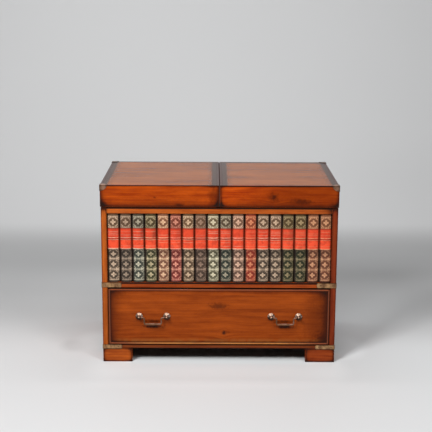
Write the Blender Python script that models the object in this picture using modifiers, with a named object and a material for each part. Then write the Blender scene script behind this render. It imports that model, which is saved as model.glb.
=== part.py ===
"""Drinks cabinet: a bottle chest whose front is a row of book spines over one drawer.

Metres, +Z up, front towards -Y, origin at the bottom centre of the whole object.
The top is two deep lids, hinged on the outer sides, that swing right over and
become trays.
"""
import bmesh
import bpy
from math import cos, pi, radians, sin
from mathutils import Vector

# Overall sizes
LID_WIDTH = 0.800
LID_DEPTH = 0.475
LID_HEIGHT = 0.0745
LID_OVERHANG = 0.002

# Heights of the front, from the floor up
FOOT_HEIGHT = 0.0495
BOTTOM_THICKNESS = 0.013
DRAWER_OPENING_HEIGHT = 0.203
DIVIDER_THICKNESS = 0.018
BOOK_OPENING_HEIGHT = 0.2425
TOP_RAIL_HEIGHT = 0.0175
LID_SEAM = 0.002

# Boards
SIDE_THICKNESS = 0.019
BACK_THICKNESS = 0.012
BOOK_BACKING_THICKNESS = 0.012
HOUSING_DEPTH = 0.005
HOUSING_SETBACK = 0.030
HOUSING_SHOULDER = 0.0015
ARRIS = 0.0008
FIT_GAP = 0.0003
SHARP_ANGLE = radians(30)

# Book spines
BOOK_COUNT = 18
BOOK_SETBACK = 0.003
BOOK_THICKNESS = 0.020
BOOK_SPACING = 0.0022
BOOK_CROWN = 0.0085
BOOK_HEADROOM = 0.001
SPINE_STEPS = 6
BAND_HEIGHT = 0.0042
BAND_STAND = 0.0012
# Raised bands, as heights above the foot of a book
BAND_LEVELS = (0.0460, 0.0829, 0.1198, 0.1518)

# Feet
FOOT_LENGTH = 0.100
FOOT_THICKNESS = 0.022
FOOT_ARRIS = 0.0015

# Bottle rack
RACK_THICKNESS = 0.006
RACK_HEIGHT = 0.120
RACK_COLUMNS = 3
RACK_ROWS = 4

# Lids
LID_SPLIT = 0.0025
LID_WALL = 0.014
LID_PANEL_THICKNESS = 0.012
LID_REBATE_LAND = 0.008
LID_EDGE_ROUND = 0.0015

# Lid hinges
HINGE_SETBACK = 0.045
KNUCKLE_COUNT = 7
BARREL_RADIUS = 0.0030
PIN_RADIUS = 0.0012
LEAF_THICKNESS = 0.0012
LEAF_WIDTH = 0.0135
LEAF_SPACING = 0.0004
BARREL_RELIEF = 0.0006

# Brass plates
PLATE_THICKNESS = 0.0008
CORNER_REACH = 0.0255
CORNER_DROP = 0.0205
STRAP_LENGTH = 0.0665
MID_STRAP_HEIGHT = 0.0175
BASE_STRAP_HEIGHT = 0.0150
STRAP_END_ROUND = 0.0060

# Drawer
DRAWER_SIDE_GAP = 0.002
DRAWER_BOTTOM_GAP = 0.002
DRAWER_TOP_GAP = 0.004
DRAWER_FRONT_THICKNESS = 0.018
DRAWER_SIDE_THICKNESS = 0.010
DRAWER_SIDE_DROP = 0.006
DRAWER_BOTTOM_THICKNESS = 0.006
DRAWER_BOTTOM_LIFT = 0.008
DRAWER_GROOVE = 0.005
BEAD_WIDTH = 0.0065
BEAD_STAND = 0.0025
BEAD_REBATE = 0.008
BEAD_ROUND = 0.0014

# Drawer handles
HANDLE_INSET = 0.1515
HANDLE_RISE = 0.0995
POST_SPACING = 0.094
ROSE_RADIUS = 0.0125
ROSE_HEIGHT = 0.0075
HEAD_RADIUS = 0.0065
HEAD_STAND = 0.0170
NECK_RADIUS = 0.0036
SPIGOT_RADIUS = 0.0025
NUT_RADIUS = 0.0060
NUT_THICKNESS = 0.0030
BAIL_PIN_RADIUS = 0.0020
BAIL_PIN_REACH = 0.0015
BAIL_LEG_RADIUS = 0.0027
BAIL_BAR_RADIUS = 0.0034
BAIL_SWELL_RADIUS = 0.0042
BAIL_DROP = 0.0250
BAIL_HALF_LENGTH = 0.0290
BAIL_CORNER = 0.0045

# Levels, from the sizes above
BOTTOM_TOP = FOOT_HEIGHT + BOTTOM_THICKNESS
DIVIDER_BASE = BOTTOM_TOP + DRAWER_OPENING_HEIGHT
DIVIDER_TOP = DIVIDER_BASE + DIVIDER_THICKNESS
TOP_RAIL_BASE = DIVIDER_TOP + BOOK_OPENING_HEIGHT
CASE_TOP = TOP_RAIL_BASE + TOP_RAIL_HEIGHT
LID_BASE = CASE_TOP + LID_SEAM
LID_TOP = LID_BASE + LID_HEIGHT
DRAWER_BASE = BOTTOM_TOP + DRAWER_BOTTOM_GAP
DRAWER_TOP = DIVIDER_BASE - DRAWER_TOP_GAP
HANDLE_LEVEL = DRAWER_BASE + HANDLE_RISE

# Places across the width
LID_SIDE = LID_WIDTH / 2
CASE_SIDE = LID_SIDE - LID_OVERHANG
INSIDE = CASE_SIDE - SIDE_THICKNESS
PLATE_STAND = FIT_GAP + PLATE_THICKNESS
# Turned right over, the brass corners of a lid lie just clear of the case's side
HINGE_X = (LID_SIDE + PLATE_STAND + CASE_SIDE + FIT_GAP) / 2
HINGE_Z = CASE_TOP + LID_SEAM / 2
DRAWER_SIDE = INSIDE - DRAWER_SIDE_GAP
HANDLE_OFFSET = DRAWER_SIDE - HANDLE_INSET

# Places along the depth: the whole object is centred, handles and plates included
HANDLE_REACH = HEAD_STAND + HEAD_RADIUS
CASE_DEPTH = LID_DEPTH - LID_OVERHANG
WHOLE_DEPTH = HANDLE_REACH + CASE_DEPTH + PLATE_STAND
CASE_BACK = WHOLE_DEPTH / 2 - PLATE_STAND
CASE_FRONT = CASE_BACK - CASE_DEPTH
LID_FRONT = CASE_FRONT - LID_OVERHANG
BACK_FACE = CASE_BACK - BACK_THICKNESS
BOOK_BACK = CASE_FRONT + BOOK_SETBACK + BOOK_THICKNESS
BACKING_FRONT = BOOK_BACK + FIT_GAP
BACKING_BACK = BACKING_FRONT + BOOK_BACKING_THICKNESS
DRAWER_BACK = BACK_FACE - FIT_GAP
HEAD_Y = CASE_FRONT - HEAD_STAND

# Colour (linear red, green, blue), roughness, metallic
FINISHES = {
    "mahogany": ((0.330, 0.062, 0.014), 0.34, 0.0),
    "dark_mahogany": ((0.150, 0.036, 0.014), 0.42, 0.0),
    "drawer_wood": ((0.300, 0.165, 0.075), 0.60, 0.0),
    "aged_brass": ((0.400, 0.290, 0.150), 0.38, 1.0),
    "leather_umber": ((0.060, 0.032, 0.020), 0.50, 0.0),
    "leather_green": ((0.022, 0.040, 0.026), 0.50, 0.0),
    "leather_tan": ((0.300, 0.130, 0.070), 0.50, 0.0),
    "leather_red": ((0.200, 0.030, 0.016), 0.50, 0.0),
}
BOOK_LEATHERS = (
    "leather_umber", "leather_umber", "leather_green", "leather_green", "leather_tan", "leather_red",
    "leather_tan", "leather_umber", "leather_green", "leather_green", "leather_tan", "leather_red",
    "leather_umber", "leather_umber", "leather_green", "leather_green", "leather_red", "leather_red",
)


def clear_scene():
    for obj in list(bpy.data.objects):
        bpy.data.objects.remove(obj, do_unlink=True)


def new_collection(name):
    collection = bpy.data.collections.new(name)
    bpy.context.scene.collection.children.link(collection)
    return collection


def move_to(collection, obj):
    for held in list(obj.users_collection):
        held.objects.unlink(obj)
    collection.objects.link(obj)


def finish_for(name, finish):
    """Each piece has a material of its own, in the colour of its finish."""
    colour, roughness, metallic = FINISHES[finish]
    material = bpy.data.materials.new(name + "_" + finish)
    material.use_nodes = True
    shader = material.node_tree.nodes["Principled BSDF"]
    shader.inputs["Base Color"].default_value = (*colour, 1.0)
    shader.inputs["Roughness"].default_value = roughness
    shader.inputs["Metallic"].default_value = metallic
    material.diffuse_color = (*colour, 1.0)
    return material


def as_piece(obj, name, finish, axis=None):
    """Name a piece, give it its finish, and hang it on its joint's axis if it moves."""
    obj.name = name
    obj.data.name = name
    move_to(PIECES, obj)
    obj.data.materials.append(finish_for(name, finish))
    if axis is not None:
        obj.parent = axis
        obj.location = obj.location - axis.location
    return obj


def as_cutter(obj, name):
    obj.name = name
    move_to(CUTTERS, obj)
    obj.hide_render = True
    obj.display_type = "WIRE"
    return obj


def joint_axis(name, place):
    axis = bpy.data.objects.new(name, None)
    axis.location = place
    axis.empty_display_size = 0.05
    PIECES.objects.link(axis)
    return axis


def block(corner, opposite):
    """A box between two corners, given in any order."""
    low = Vector([min(a, b) for a, b in zip(corner, opposite)])
    high = Vector([max(a, b) for a, b in zip(corner, opposite)])
    bpy.ops.mesh.primitive_cube_add(size=1.0, location=(low + high) / 2)
    obj = bpy.context.object
    obj.scale = high - low
    bpy.ops.object.transform_apply(location=False, rotation=False, scale=True)
    return obj


def rod(start, end, radius, sides=12):
    """A cylinder from one point to another."""
    start = Vector(start)
    end = Vector(end)
    along = end - start
    bpy.ops.mesh.primitive_cylinder_add(vertices=sides, radius=radius, depth=along.length)
    obj = bpy.context.object
    obj.rotation_euler = along.to_track_quat("Z", "Y").to_euler()
    obj.location = (start + end) / 2
    bpy.ops.object.transform_apply(location=False, rotation=True, scale=False)
    return obj


def soften(obj, width, segments=1):
    bevel = obj.modifiers.new("softened edges", "BEVEL")
    bevel.width = width
    bevel.segments = segments
    bevel.limit_method = "ANGLE"
    return obj


def combine(obj, other, operation, name):
    """Cut another shape from a piece, or join it on, or keep only what both hold."""
    as_cutter(other, name)
    modifier = obj.modifiers.new(name, "BOOLEAN")
    modifier.operation = operation
    modifier.solver = "EXACT"
    modifier.object = other
    return obj


def cut(obj, other, name):
    return combine(obj, other, "DIFFERENCE", name)


def join(obj, other, name):
    return combine(obj, other, "UNION", name)


def board(name, finish, corner, opposite, axis=None, arris=ARRIS):
    obj = block(corner, opposite)
    soften(obj, arris)
    return as_piece(obj, name, finish, axis)


def round_chosen_edges(mesh, width, segments, chosen):
    """Round only the sharp edges that a test picks out."""
    shape = bmesh.new()
    shape.from_mesh(mesh)
    edges = [
        edge for edge in shape.edges if edge.calc_face_angle(0.0) > SHARP_ANGLE and chosen(edge)
    ]
    bmesh.ops.bevel(
        shape, geom=edges, offset=width, segments=segments, profile=0.5, affect="EDGES",
    )
    shape.to_mesh(mesh)
    shape.free()


def settled_mesh(obj, name):
    """The mesh of a shape as its modifiers leave it, with its caps welded."""
    bpy.context.view_layer.update()
    evaluated = obj.evaluated_get(bpy.context.evaluated_depsgraph_get())
    mesh = bpy.data.meshes.new_from_object(evaluated)
    mesh.name = name
    shape = bmesh.new()
    shape.from_mesh(mesh)
    bmesh.ops.remove_doubles(shape, verts=shape.verts, dist=1e-6)
    bmesh.ops.recalc_face_normals(shape, faces=shape.faces)
    shape.to_mesh(mesh)
    shape.free()
    return mesh


def upright_outline(name, points, base, height):
    """A flat outline in plan, drawn up from one level to another."""
    curve = bpy.data.curves.new(name, "CURVE")
    curve.dimensions = "2D"
    curve.fill_mode = "BOTH"
    curve.extrude = height / 2
    spline = curve.splines.new("POLY")
    spline.points.add(len(points) - 1)
    for point, (x, y) in zip(spline.points, points):
        point.co = (x, y, 0.0, 1.0)
    spline.use_cyclic_u = True
    guide = bpy.data.objects.new(name, curve)
    bpy.context.scene.collection.objects.link(guide)
    obj = bpy.data.objects.new(name, settled_mesh(guide, name))
    obj.location = (0.0, 0.0, base + height / 2)
    bpy.context.scene.collection.objects.link(obj)
    bpy.data.objects.remove(guide, do_unlink=True)
    return obj


# Carcass

def housed_board(name, base, top, back):
    """A board across the case, its ends let into the sides behind the front edge."""
    half = INSIDE - FIT_GAP
    obj = block((-half, CASE_FRONT, base), (half, back, top))
    soften(obj, ARRIS)
    tongue_half = INSIDE + HOUSING_DEPTH - FIT_GAP
    tongue = block(
        (-tongue_half, CASE_FRONT + HOUSING_SETBACK, base + HOUSING_SHOULDER),
        (tongue_half, CASE_BACK - HOUSING_SETBACK, top - HOUSING_SHOULDER),
    )
    join(obj, tongue, name + "_tongue")
    return as_piece(obj, name, "mahogany")


def case_side(name, side):
    obj = block((side * CASE_SIDE, CASE_FRONT, FOOT_HEIGHT), (side * INSIDE, CASE_BACK, CASE_TOP))
    soften(obj, ARRIS)
    levels = (("bottom", FOOT_HEIGHT, BOTTOM_TOP), ("divider", DIVIDER_BASE, DIVIDER_TOP))
    for label, base, top in levels:
        margin = HOUSING_SHOULDER - FIT_GAP
        housing = block(
            (side * (INSIDE + HOUSING_DEPTH), CASE_FRONT + HOUSING_SETBACK - FIT_GAP, base + margin),
            (side * (INSIDE - HOUSING_DEPTH), CASE_BACK - HOUSING_SETBACK + FIT_GAP, top - margin),
        )
        cut(obj, housing, name + "_" + label + "_housing")
    cut_hinge_seat(obj, name, side, CASE_TOP, -1)
    return as_piece(obj, name, "mahogany")


def make_carcass():
    for name, side in (("side_left", -1), ("side_right", 1)):
        case_side(name, side)
    housed_board("bottom_board", FOOT_HEIGHT, BOTTOM_TOP, CASE_BACK)
    housed_board("divider_board", DIVIDER_BASE, DIVIDER_TOP, BACK_FACE - FIT_GAP)
    half = INSIDE - FIT_GAP
    board(
        "back_panel", "dark_mahogany",
        (-half, BACK_FACE, BOTTOM_TOP + FIT_GAP), (half, CASE_BACK, CASE_TOP),
    )
    board(
        "top_rail", "mahogany",
        (-half, CASE_FRONT, TOP_RAIL_BASE), (half, BACKING_BACK, CASE_TOP),
    )
    board(
        "book_backing_panel", "dark_mahogany",
        (-half, BACKING_FRONT, DIVIDER_TOP + FIT_GAP), (half, BACKING_BACK, TOP_RAIL_BASE - FIT_GAP),
    )


def make_feet():
    """Four bracket feet, each an L in plan, flush with the case."""
    ends = (("front", CASE_FRONT, 1), ("back", CASE_BACK, -1))
    for end, face, inward in ends:
        for hand, side in (("left", -1), ("right", 1)):
            corner = side * CASE_SIDE
            far_x = corner - side * FOOT_LENGTH
            near_x = corner - side * FOOT_THICKNESS
            far_y = face + inward * FOOT_LENGTH
            near_y = face + inward * FOOT_THICKNESS
            outline = [
                (corner, face), (far_x, face), (far_x, near_y),
                (near_x, near_y), (near_x, far_y), (corner, far_y),
            ]
            name = "foot_" + end + "_" + hand
            foot = upright_outline(name, outline, 0.0, FOOT_HEIGHT - FIT_GAP)
            soften(foot, FOOT_ARRIS, 2)
            as_piece(foot, name, "mahogany")


def make_bottle_rack():
    """Cross-lapped boards: bays for bottles at the left, an open bay for glasses at the right."""
    left = -INSIDE + FIT_GAP
    right = RACK_THICKNESS / 2
    front = BACKING_BACK + FIT_GAP
    back = BACK_FACE - FIT_GAP
    base = DIVIDER_TOP + FIT_GAP
    top = base + RACK_HEIGHT
    column_pitch = (right - RACK_THICKNESS / 2 - left) / RACK_COLUMNS
    row_pitch = (back - front) / RACK_ROWS
    rack = block((right - RACK_THICKNESS, front, base), (right, back, top))
    for column in range(1, RACK_COLUMNS):
        middle = left + column * column_pitch
        long_board = block(
            (middle - RACK_THICKNESS / 2, front, base), (middle + RACK_THICKNESS / 2, back, top),
        )
        join(rack, long_board, "rack_long_board_" + str(column))
    for row in range(1, RACK_ROWS):
        middle = front + row * row_pitch
        cross_board = block(
            (left, middle - RACK_THICKNESS / 2, base),
            (right - RACK_THICKNESS / 2, middle + RACK_THICKNESS / 2, top),
        )
        join(rack, cross_board, "rack_cross_board_" + str(row))
    as_piece(rack, "bottle_rack", "drawer_wood")


# Book spines

def spine_outline(width, stand):
    """Half the round of a book's back, in plan: flat behind, crowned in front."""
    half = width / 2 + stand * 0.5
    shoulder = -(BOOK_THICKNESS - BOOK_CROWN)
    points = [(half, 0.0), (half, shoulder)]
    for step in range(1, SPINE_STEPS):
        angle = pi * step / SPINE_STEPS
        points.append((half * cos(angle), shoulder - (BOOK_CROWN + stand) * sin(angle)))
    points += [(-half, shoulder), (-half, 0.0)]
    return points


def make_books():
    """A row of false book spines, each with raised bands, glued to the backing panel."""
    pitch = 2 * INSIDE / BOOK_COUNT
    width = pitch - BOOK_SPACING
    base = DIVIDER_TOP + FIT_GAP
    height = TOP_RAIL_BASE - BOOK_HEADROOM - base
    pattern = upright_outline("book_spine_pattern", spine_outline(width, 0.0), 0.0, height)
    for number, level in enumerate(BAND_LEVELS):
        band = upright_outline(
            "book_band", spine_outline(width, BAND_STAND), level - BAND_HEIGHT / 2, BAND_HEIGHT,
        )
        join(pattern, band, "book_band_" + str(number))
    spine = settled_mesh(pattern, "book_spine")
    as_cutter(pattern, "book_spine_pattern")
    for number in range(BOOK_COUNT):
        name = "book_spine_" + str(number + 1).zfill(2)
        obj = bpy.data.objects.new(name, spine.copy())
        obj.location = (-INSIDE + (number + 0.5) * pitch, BOOK_BACK, base + height / 2)
        bpy.context.scene.collection.objects.link(obj)
        obj.data.shade_smooth()
        obj.data.set_sharp_from_angle(angle=radians(40))
        as_piece(obj, name, BOOK_LEATHERS[number])


# Brass straps on the front corners

def strap_leg(corner, opposite, end_axis, end_side, height):
    """One flat leg of a strap, its far end rounded."""
    obj = block(corner, opposite)
    thin_axis = 1 - end_axis

    def crosses_end(edge):
        direction = edge.verts[0].co - edge.verts[1].co
        middle = (edge.verts[0].co + edge.verts[1].co) / 2
        return abs(direction[thin_axis]) > PLATE_THICKNESS / 2 and middle[end_axis] * end_side > 0

    round_chosen_edges(obj.data, min(STRAP_END_ROUND, 0.48 * height), 4, crosses_end)
    return obj


def make_strap(name, side, base, height):
    """A strap round a front corner, standing proud of the front and of the side."""
    top = base + height
    inner_x = CASE_SIDE + FIT_GAP
    outer_x = CASE_SIDE + PLATE_STAND
    inner_y = CASE_FRONT - FIT_GAP
    outer_y = CASE_FRONT - PLATE_STAND
    front_leg = strap_leg(
        (side * outer_x, outer_y, base), (side * (CASE_SIDE - STRAP_LENGTH), inner_y, top), 0, -side, height,
    )
    side_leg = strap_leg(
        (side * outer_x, outer_y, base), (side * inner_x, CASE_FRONT + STRAP_LENGTH, top), 1, 1, height,
    )
    join(front_leg, side_leg, name + "_side_leg")
    as_piece(front_leg, name, "aged_brass")


def make_straps():
    for hand, side in (("left", -1), ("right", 1)):
        mid_base = (DIVIDER_BASE + DIVIDER_TOP - MID_STRAP_HEIGHT) / 2
        make_strap("mid_strap_" + hand, side, mid_base, MID_STRAP_HEIGHT)
        # The drawer's sides slide out over the lower straps
        low_base = BOTTOM_TOP - 2 * FIT_GAP - BASE_STRAP_HEIGHT
        make_strap("base_strap_" + hand, side, low_base, BASE_STRAP_HEIGHT)


# Lid hinges

HINGE_FRONT = LID_FRONT + HINGE_SETBACK
HINGE_BACK = CASE_BACK - HINGE_SETBACK


def leaf_levels(way):
    """The two faces of a leaf: way is 1 for the lid's leaf and -1 for the case's."""
    near = HINGE_Z + way * LEAF_SPACING / 2
    return near, near + way * LEAF_THICKNESS


def cut_hinge_seat(obj, name, side, face, way):
    """Let a leaf into an edge of the wood, and clear the barrel."""
    seat_floor = leaf_levels(way)[1] + way * FIT_GAP
    seat = block(
        (side * (HINGE_X - LEAF_WIDTH - FIT_GAP), HINGE_FRONT - FIT_GAP, seat_floor),
        (side * (HINGE_X + BARREL_RADIUS), HINGE_BACK + FIT_GAP, face - way * LID_SEAM),
    )
    cut(obj, seat, name + "_leaf_seat")
    relief = rod(
        (side * HINGE_X, HINGE_FRONT - FIT_GAP, HINGE_Z), (side * HINGE_X, HINGE_BACK + FIT_GAP, HINGE_Z),
        BARREL_RADIUS + BARREL_RELIEF,
    )
    cut(obj, relief, name + "_barrel_relief")


def make_hinge_leaf(name, side, way, first_knuckle, axis=None):
    near, far = leaf_levels(way)
    clear_of_barrel = BARREL_RADIUS + FIT_GAP
    leaf = block(
        (side * (HINGE_X - LEAF_WIDTH), HINGE_FRONT, near), (side * (HINGE_X - clear_of_barrel), HINGE_BACK, far),
    )
    knuckle_pitch = (HINGE_BACK - HINGE_FRONT + FIT_GAP) / KNUCKLE_COUNT
    for knuckle in range(first_knuckle, KNUCKLE_COUNT, 2):
        start = HINGE_FRONT + knuckle * knuckle_pitch
        end = start + knuckle_pitch - FIT_GAP
        number = str(knuckle + 1)
        barrel = rod((side * HINGE_X, start, HINGE_Z), (side * HINGE_X, end, HINGE_Z), BARREL_RADIUS)
        web = block(
            (side * (HINGE_X - clear_of_barrel - LEAF_THICKNESS), start, near),
            (side * (HINGE_X - PIN_RADIUS - 2 * FIT_GAP), end, far),
        )
        join(leaf, web, name + "_web_" + number)
        join(leaf, barrel, name + "_knuckle_" + number)
    bore = rod(
        (side * HINGE_X, HINGE_FRONT - BARREL_RADIUS, HINGE_Z), (side * HINGE_X, HINGE_BACK + BARREL_RADIUS, HINGE_Z),
        PIN_RADIUS + FIT_GAP,
    )
    cut(leaf, bore, name + "_bore")
    return as_piece(leaf, name, "aged_brass", axis)


def make_hinge(hand, side, axis):
    make_hinge_leaf("hinge_" + hand + "_case_leaf", side, -1, 0)
    make_hinge_leaf("hinge_" + hand + "_lid_leaf", side, 1, 1, axis)
    pin = rod((side * HINGE_X, HINGE_FRONT, HINGE_Z), (side * HINGE_X, HINGE_BACK, HINGE_Z), PIN_RADIUS)
    as_piece(pin, "hinge_" + hand + "_pin", "aged_brass")


# Lids

def make_lid_frame(hand, side, axis):
    """Four walls of one lid, rebated for the top panel and relieved round the hinge."""
    name = "lid_" + hand + "_frame"
    inner_edge = LID_SPLIT / 2
    frame = block((side * LID_SIDE, LID_FRONT, LID_BASE), (side * inner_edge, CASE_BACK, LID_TOP))
    soften(frame, LID_EDGE_ROUND, 2)
    hollow = block(
        (side * (LID_SIDE - LID_WALL), LID_FRONT + LID_WALL, LID_BASE - LID_WALL),
        (side * (inner_edge + LID_WALL), CASE_BACK - LID_WALL, LID_TOP + LID_WALL),
    )
    cut(frame, hollow, name + "_hollow")
    rebate = block(
        (side * (LID_SIDE - LID_REBATE_LAND), LID_FRONT + LID_REBATE_LAND, LID_TOP - LID_PANEL_THICKNESS),
        (side * (inner_edge + LID_REBATE_LAND), CASE_BACK - LID_REBATE_LAND, LID_TOP + LID_WALL),
    )
    cut(frame, rebate, name + "_rebate")
    cut_hinge_seat(frame, name, side, LID_BASE, 1)
    as_piece(frame, name, "mahogany", axis)


def make_lid_top(hand, side, axis):
    land = LID_REBATE_LAND + FIT_GAP
    top = block(
        (side * (LID_SIDE - land), LID_FRONT + land, LID_TOP - LID_PANEL_THICKNESS + FIT_GAP),
        (side * (LID_SPLIT / 2 + land), CASE_BACK - land, LID_TOP),
    )
    as_piece(top, "lid_" + hand + "_top", "mahogany", axis)


def make_lid_corner(hand, side, end, axis):
    """A thin three-faced brass cap, a quarter of a round on each face."""
    name = "lid_" + hand + "_corner_" + end
    face = LID_FRONT if end == "front" else CASE_BACK
    inward = 1 if end == "front" else -1
    outward = Vector((side, -inward, 1.0))
    corner = Vector((side * LID_SIDE, face, LID_TOP))
    outer = corner + outward * PLATE_STAND
    cap = block(outer, corner - outward * 2 * CORNER_REACH)
    soften(cap, PLATE_THICKNESS, 2)
    hollow = block(corner + outward * FIT_GAP, corner - outward * 3 * CORNER_REACH)
    cut(cap, hollow, name + "_hollow")
    bpy.ops.mesh.primitive_uv_sphere_add(segments=32, ring_count=16, radius=1.0, location=outer)
    lobe = bpy.context.object
    lobe.scale = (CORNER_REACH, CORNER_REACH, CORNER_DROP)
    bpy.ops.object.transform_apply(location=False, rotation=False, scale=True)
    combine(cap, lobe, "INTERSECT", name + "_outline")
    as_piece(cap, name, "aged_brass", axis)


def make_lid(hand, side):
    axis = joint_axis("lid_" + hand + "_axis", (side * HINGE_X, (LID_FRONT + CASE_BACK) / 2, HINGE_Z))
    make_lid_frame(hand, side, axis)
    make_lid_top(hand, side, axis)
    for end in ("front", "back"):
        make_lid_corner(hand, side, end, axis)
    make_hinge(hand, side, axis)


# Drawer

DRAWER_FRONT_BACK = CASE_FRONT + DRAWER_FRONT_THICKNESS
DRAWER_RUN = BOTTOM_TOP + FIT_GAP
DRAWER_FLOOR = DRAWER_RUN + DRAWER_BOTTOM_LIFT
DRAWER_WALL_TOP = DRAWER_TOP - DRAWER_SIDE_DROP


def cut_bottom_groove(obj, name):
    """The groove that the drawer's bottom board slides into."""
    inner = DRAWER_SIDE - DRAWER_SIDE_THICKNESS + DRAWER_GROOVE
    groove = block(
        (-inner, DRAWER_FRONT_BACK - DRAWER_GROOVE, DRAWER_FLOOR - FIT_GAP),
        (inner, DRAWER_BACK + ARRIS, DRAWER_FLOOR + DRAWER_BOTTOM_THICKNESS + FIT_GAP),
    )
    cut(obj, groove, name + "_groove")


def make_drawer_front(axis):
    """The face is rebated all round for the bead, and drilled for the handle posts."""
    front = block(
        (-DRAWER_SIDE, CASE_FRONT + BEAD_REBATE, DRAWER_BASE), (DRAWER_SIDE, DRAWER_FRONT_BACK, DRAWER_TOP),
    )
    land = BEAD_WIDTH + FIT_GAP
    face = block(
        (-DRAWER_SIDE + land, CASE_FRONT, DRAWER_BASE + land),
        (DRAWER_SIDE - land, CASE_FRONT + BEAD_REBATE + ARRIS, DRAWER_TOP - land),
    )
    join(front, face, "drawer_face")
    for x in post_places():
        hole = rod(
            (x, CASE_FRONT - ROSE_RADIUS, HANDLE_LEVEL), (x, DRAWER_FRONT_BACK + ROSE_RADIUS, HANDLE_LEVEL),
            SPIGOT_RADIUS + FIT_GAP,
        )
        cut(front, hole, "post_hole")
    cut_bottom_groove(front, "drawer_front")
    as_piece(front, "drawer_front", "mahogany", axis)


def make_drawer_bead(axis):
    """A round-nosed bead, let in round the drawer's face and standing proud of it."""
    front = CASE_FRONT - BEAD_STAND
    back = CASE_FRONT + BEAD_REBATE - FIT_GAP
    bead = block((-DRAWER_SIDE, front, DRAWER_BASE), (DRAWER_SIDE, back, DRAWER_TOP))
    inner_x = DRAWER_SIDE - BEAD_WIDTH
    opening = block(
        (-inner_x, front - BEAD_WIDTH, DRAWER_BASE + BEAD_WIDTH),
        (inner_x, back + BEAD_WIDTH, DRAWER_TOP - BEAD_WIDTH),
    )
    cut(bead, opening, "bead_opening")
    ring = bpy.data.objects.new("drawer_bead_ring", settled_mesh(bead, "drawer_bead"))
    ring.location = bead.location
    bpy.context.scene.collection.objects.link(ring)
    bpy.data.objects.remove(bead, do_unlink=True)
    nose = front - ring.location.y
    round_chosen_edges(
        ring.data, BEAD_ROUND, 2, lambda edge: max(abs(vert.co.y - nose) for vert in edge.verts) < FIT_GAP,
    )
    as_piece(ring, "drawer_bead", "dark_mahogany", axis)


def make_drawer(axis):
    make_drawer_front(axis)
    make_drawer_bead(axis)
    wall_front = DRAWER_FRONT_BACK + FIT_GAP
    inner = DRAWER_SIDE - DRAWER_SIDE_THICKNESS
    for hand, side in (("left", -1), ("right", 1)):
        name = "drawer_side_" + hand
        wall = block((side * DRAWER_SIDE, wall_front, DRAWER_RUN), (side * inner, DRAWER_BACK, DRAWER_WALL_TOP))
        soften(wall, ARRIS)
        cut_bottom_groove(wall, name)
        as_piece(wall, name, "drawer_wood", axis)
    board(
        "drawer_back", "drawer_wood",
        (-inner + FIT_GAP, DRAWER_BACK - DRAWER_SIDE_THICKNESS, DRAWER_FLOOR + DRAWER_BOTTOM_THICKNESS + FIT_GAP),
        (inner - FIT_GAP, DRAWER_BACK, DRAWER_WALL_TOP), axis,
    )
    groove_reach = inner + DRAWER_GROOVE - FIT_GAP
    board(
        "drawer_bottom", "drawer_wood",
        (-groove_reach, DRAWER_FRONT_BACK - DRAWER_GROOVE + FIT_GAP, DRAWER_FLOOR),
        (groove_reach, DRAWER_BACK, DRAWER_FLOOR + DRAWER_BOTTOM_THICKNESS), axis,
    )


# Drawer handles

def post_places():
    return [
        side * HANDLE_OFFSET + end * POST_SPACING / 2 for side in (-1, 1) for end in (-1, 1)
    ]


def post_profile():
    """Half the section of a post: round head, neck, domed rose, spigot and nut."""
    points = []
    neck_start = radians(145)
    steps = 6
    for step in range(steps + 1):
        angle = neck_start * step / steps
        points.append((HEAD_RADIUS * sin(angle), HEAD_STAND + HEAD_RADIUS * cos(angle)))
    points.append((NECK_RADIUS, ROSE_HEIGHT + NECK_RADIUS))
    for step in range(4):
        angle = radians(20 + 70 * step / 3)
        points.append((ROSE_RADIUS * sin(angle), FIT_GAP + ROSE_HEIGHT * cos(angle)))
    nut_face = -DRAWER_FRONT_THICKNESS - FIT_GAP
    points += [
        (SPIGOT_RADIUS, FIT_GAP),
        (SPIGOT_RADIUS, nut_face),
        (NUT_RADIUS, nut_face),
        (NUT_RADIUS, nut_face - NUT_THICKNESS),
        (0.0, nut_face - NUT_THICKNESS),
    ]
    return points


def turned(name, profile, place, steps):
    """A profile of (radius, height) turned about the line that stands out from the drawer."""
    mesh = bpy.data.meshes.new(name)
    mesh.from_pydata([(radius, 0.0, height) for radius, height in profile], [
        (index, index + 1) for index in range(len(profile) - 1)
    ], [])
    obj = bpy.data.objects.new(name, mesh)
    bpy.context.scene.collection.objects.link(obj)
    screw = obj.modifiers.new("turning", "SCREW")
    screw.steps = steps
    screw.render_steps = steps
    screw.use_merge_vertices = True
    screw.merge_threshold = 0.00001
    obj.rotation_euler = (radians(90), 0.0, 0.0)
    obj.location = place
    return obj


def bail_path():
    """Half of a bail from its pin to the middle of the bar, as (x, drop, radius)."""
    pin_x = POST_SPACING / 2
    shoulder = pin_x - HEAD_RADIUS - BAIL_PIN_RADIUS
    leg_x = BAIL_HALF_LENGTH
    points = [
        (pin_x + BAIL_PIN_REACH, 0.0, BAIL_PIN_RADIUS),
        (shoulder, 0.0, BAIL_PIN_RADIUS),
    ]
    bend = shoulder - leg_x
    for step in range(1, 5):
        angle = radians(90 * step / 4)
        points.append((shoulder - bend * sin(angle), BAIL_CORNER * (1 - cos(angle)), BAIL_LEG_RADIUS))
    points.append((leg_x, BAIL_DROP - BAIL_CORNER, BAIL_LEG_RADIUS))
    for step in range(1, 4):
        angle = radians(90 * step / 3)
        points.append((
            leg_x - BAIL_CORNER * (1 - cos(angle)),
            BAIL_DROP - BAIL_CORNER * (1 - sin(angle)),
            BAIL_BAR_RADIUS,
        ))
    points.append((leg_x / 2, BAIL_DROP, BAIL_BAR_RADIUS))
    points.append((0.0, BAIL_DROP, BAIL_SWELL_RADIUS))
    return points


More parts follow.
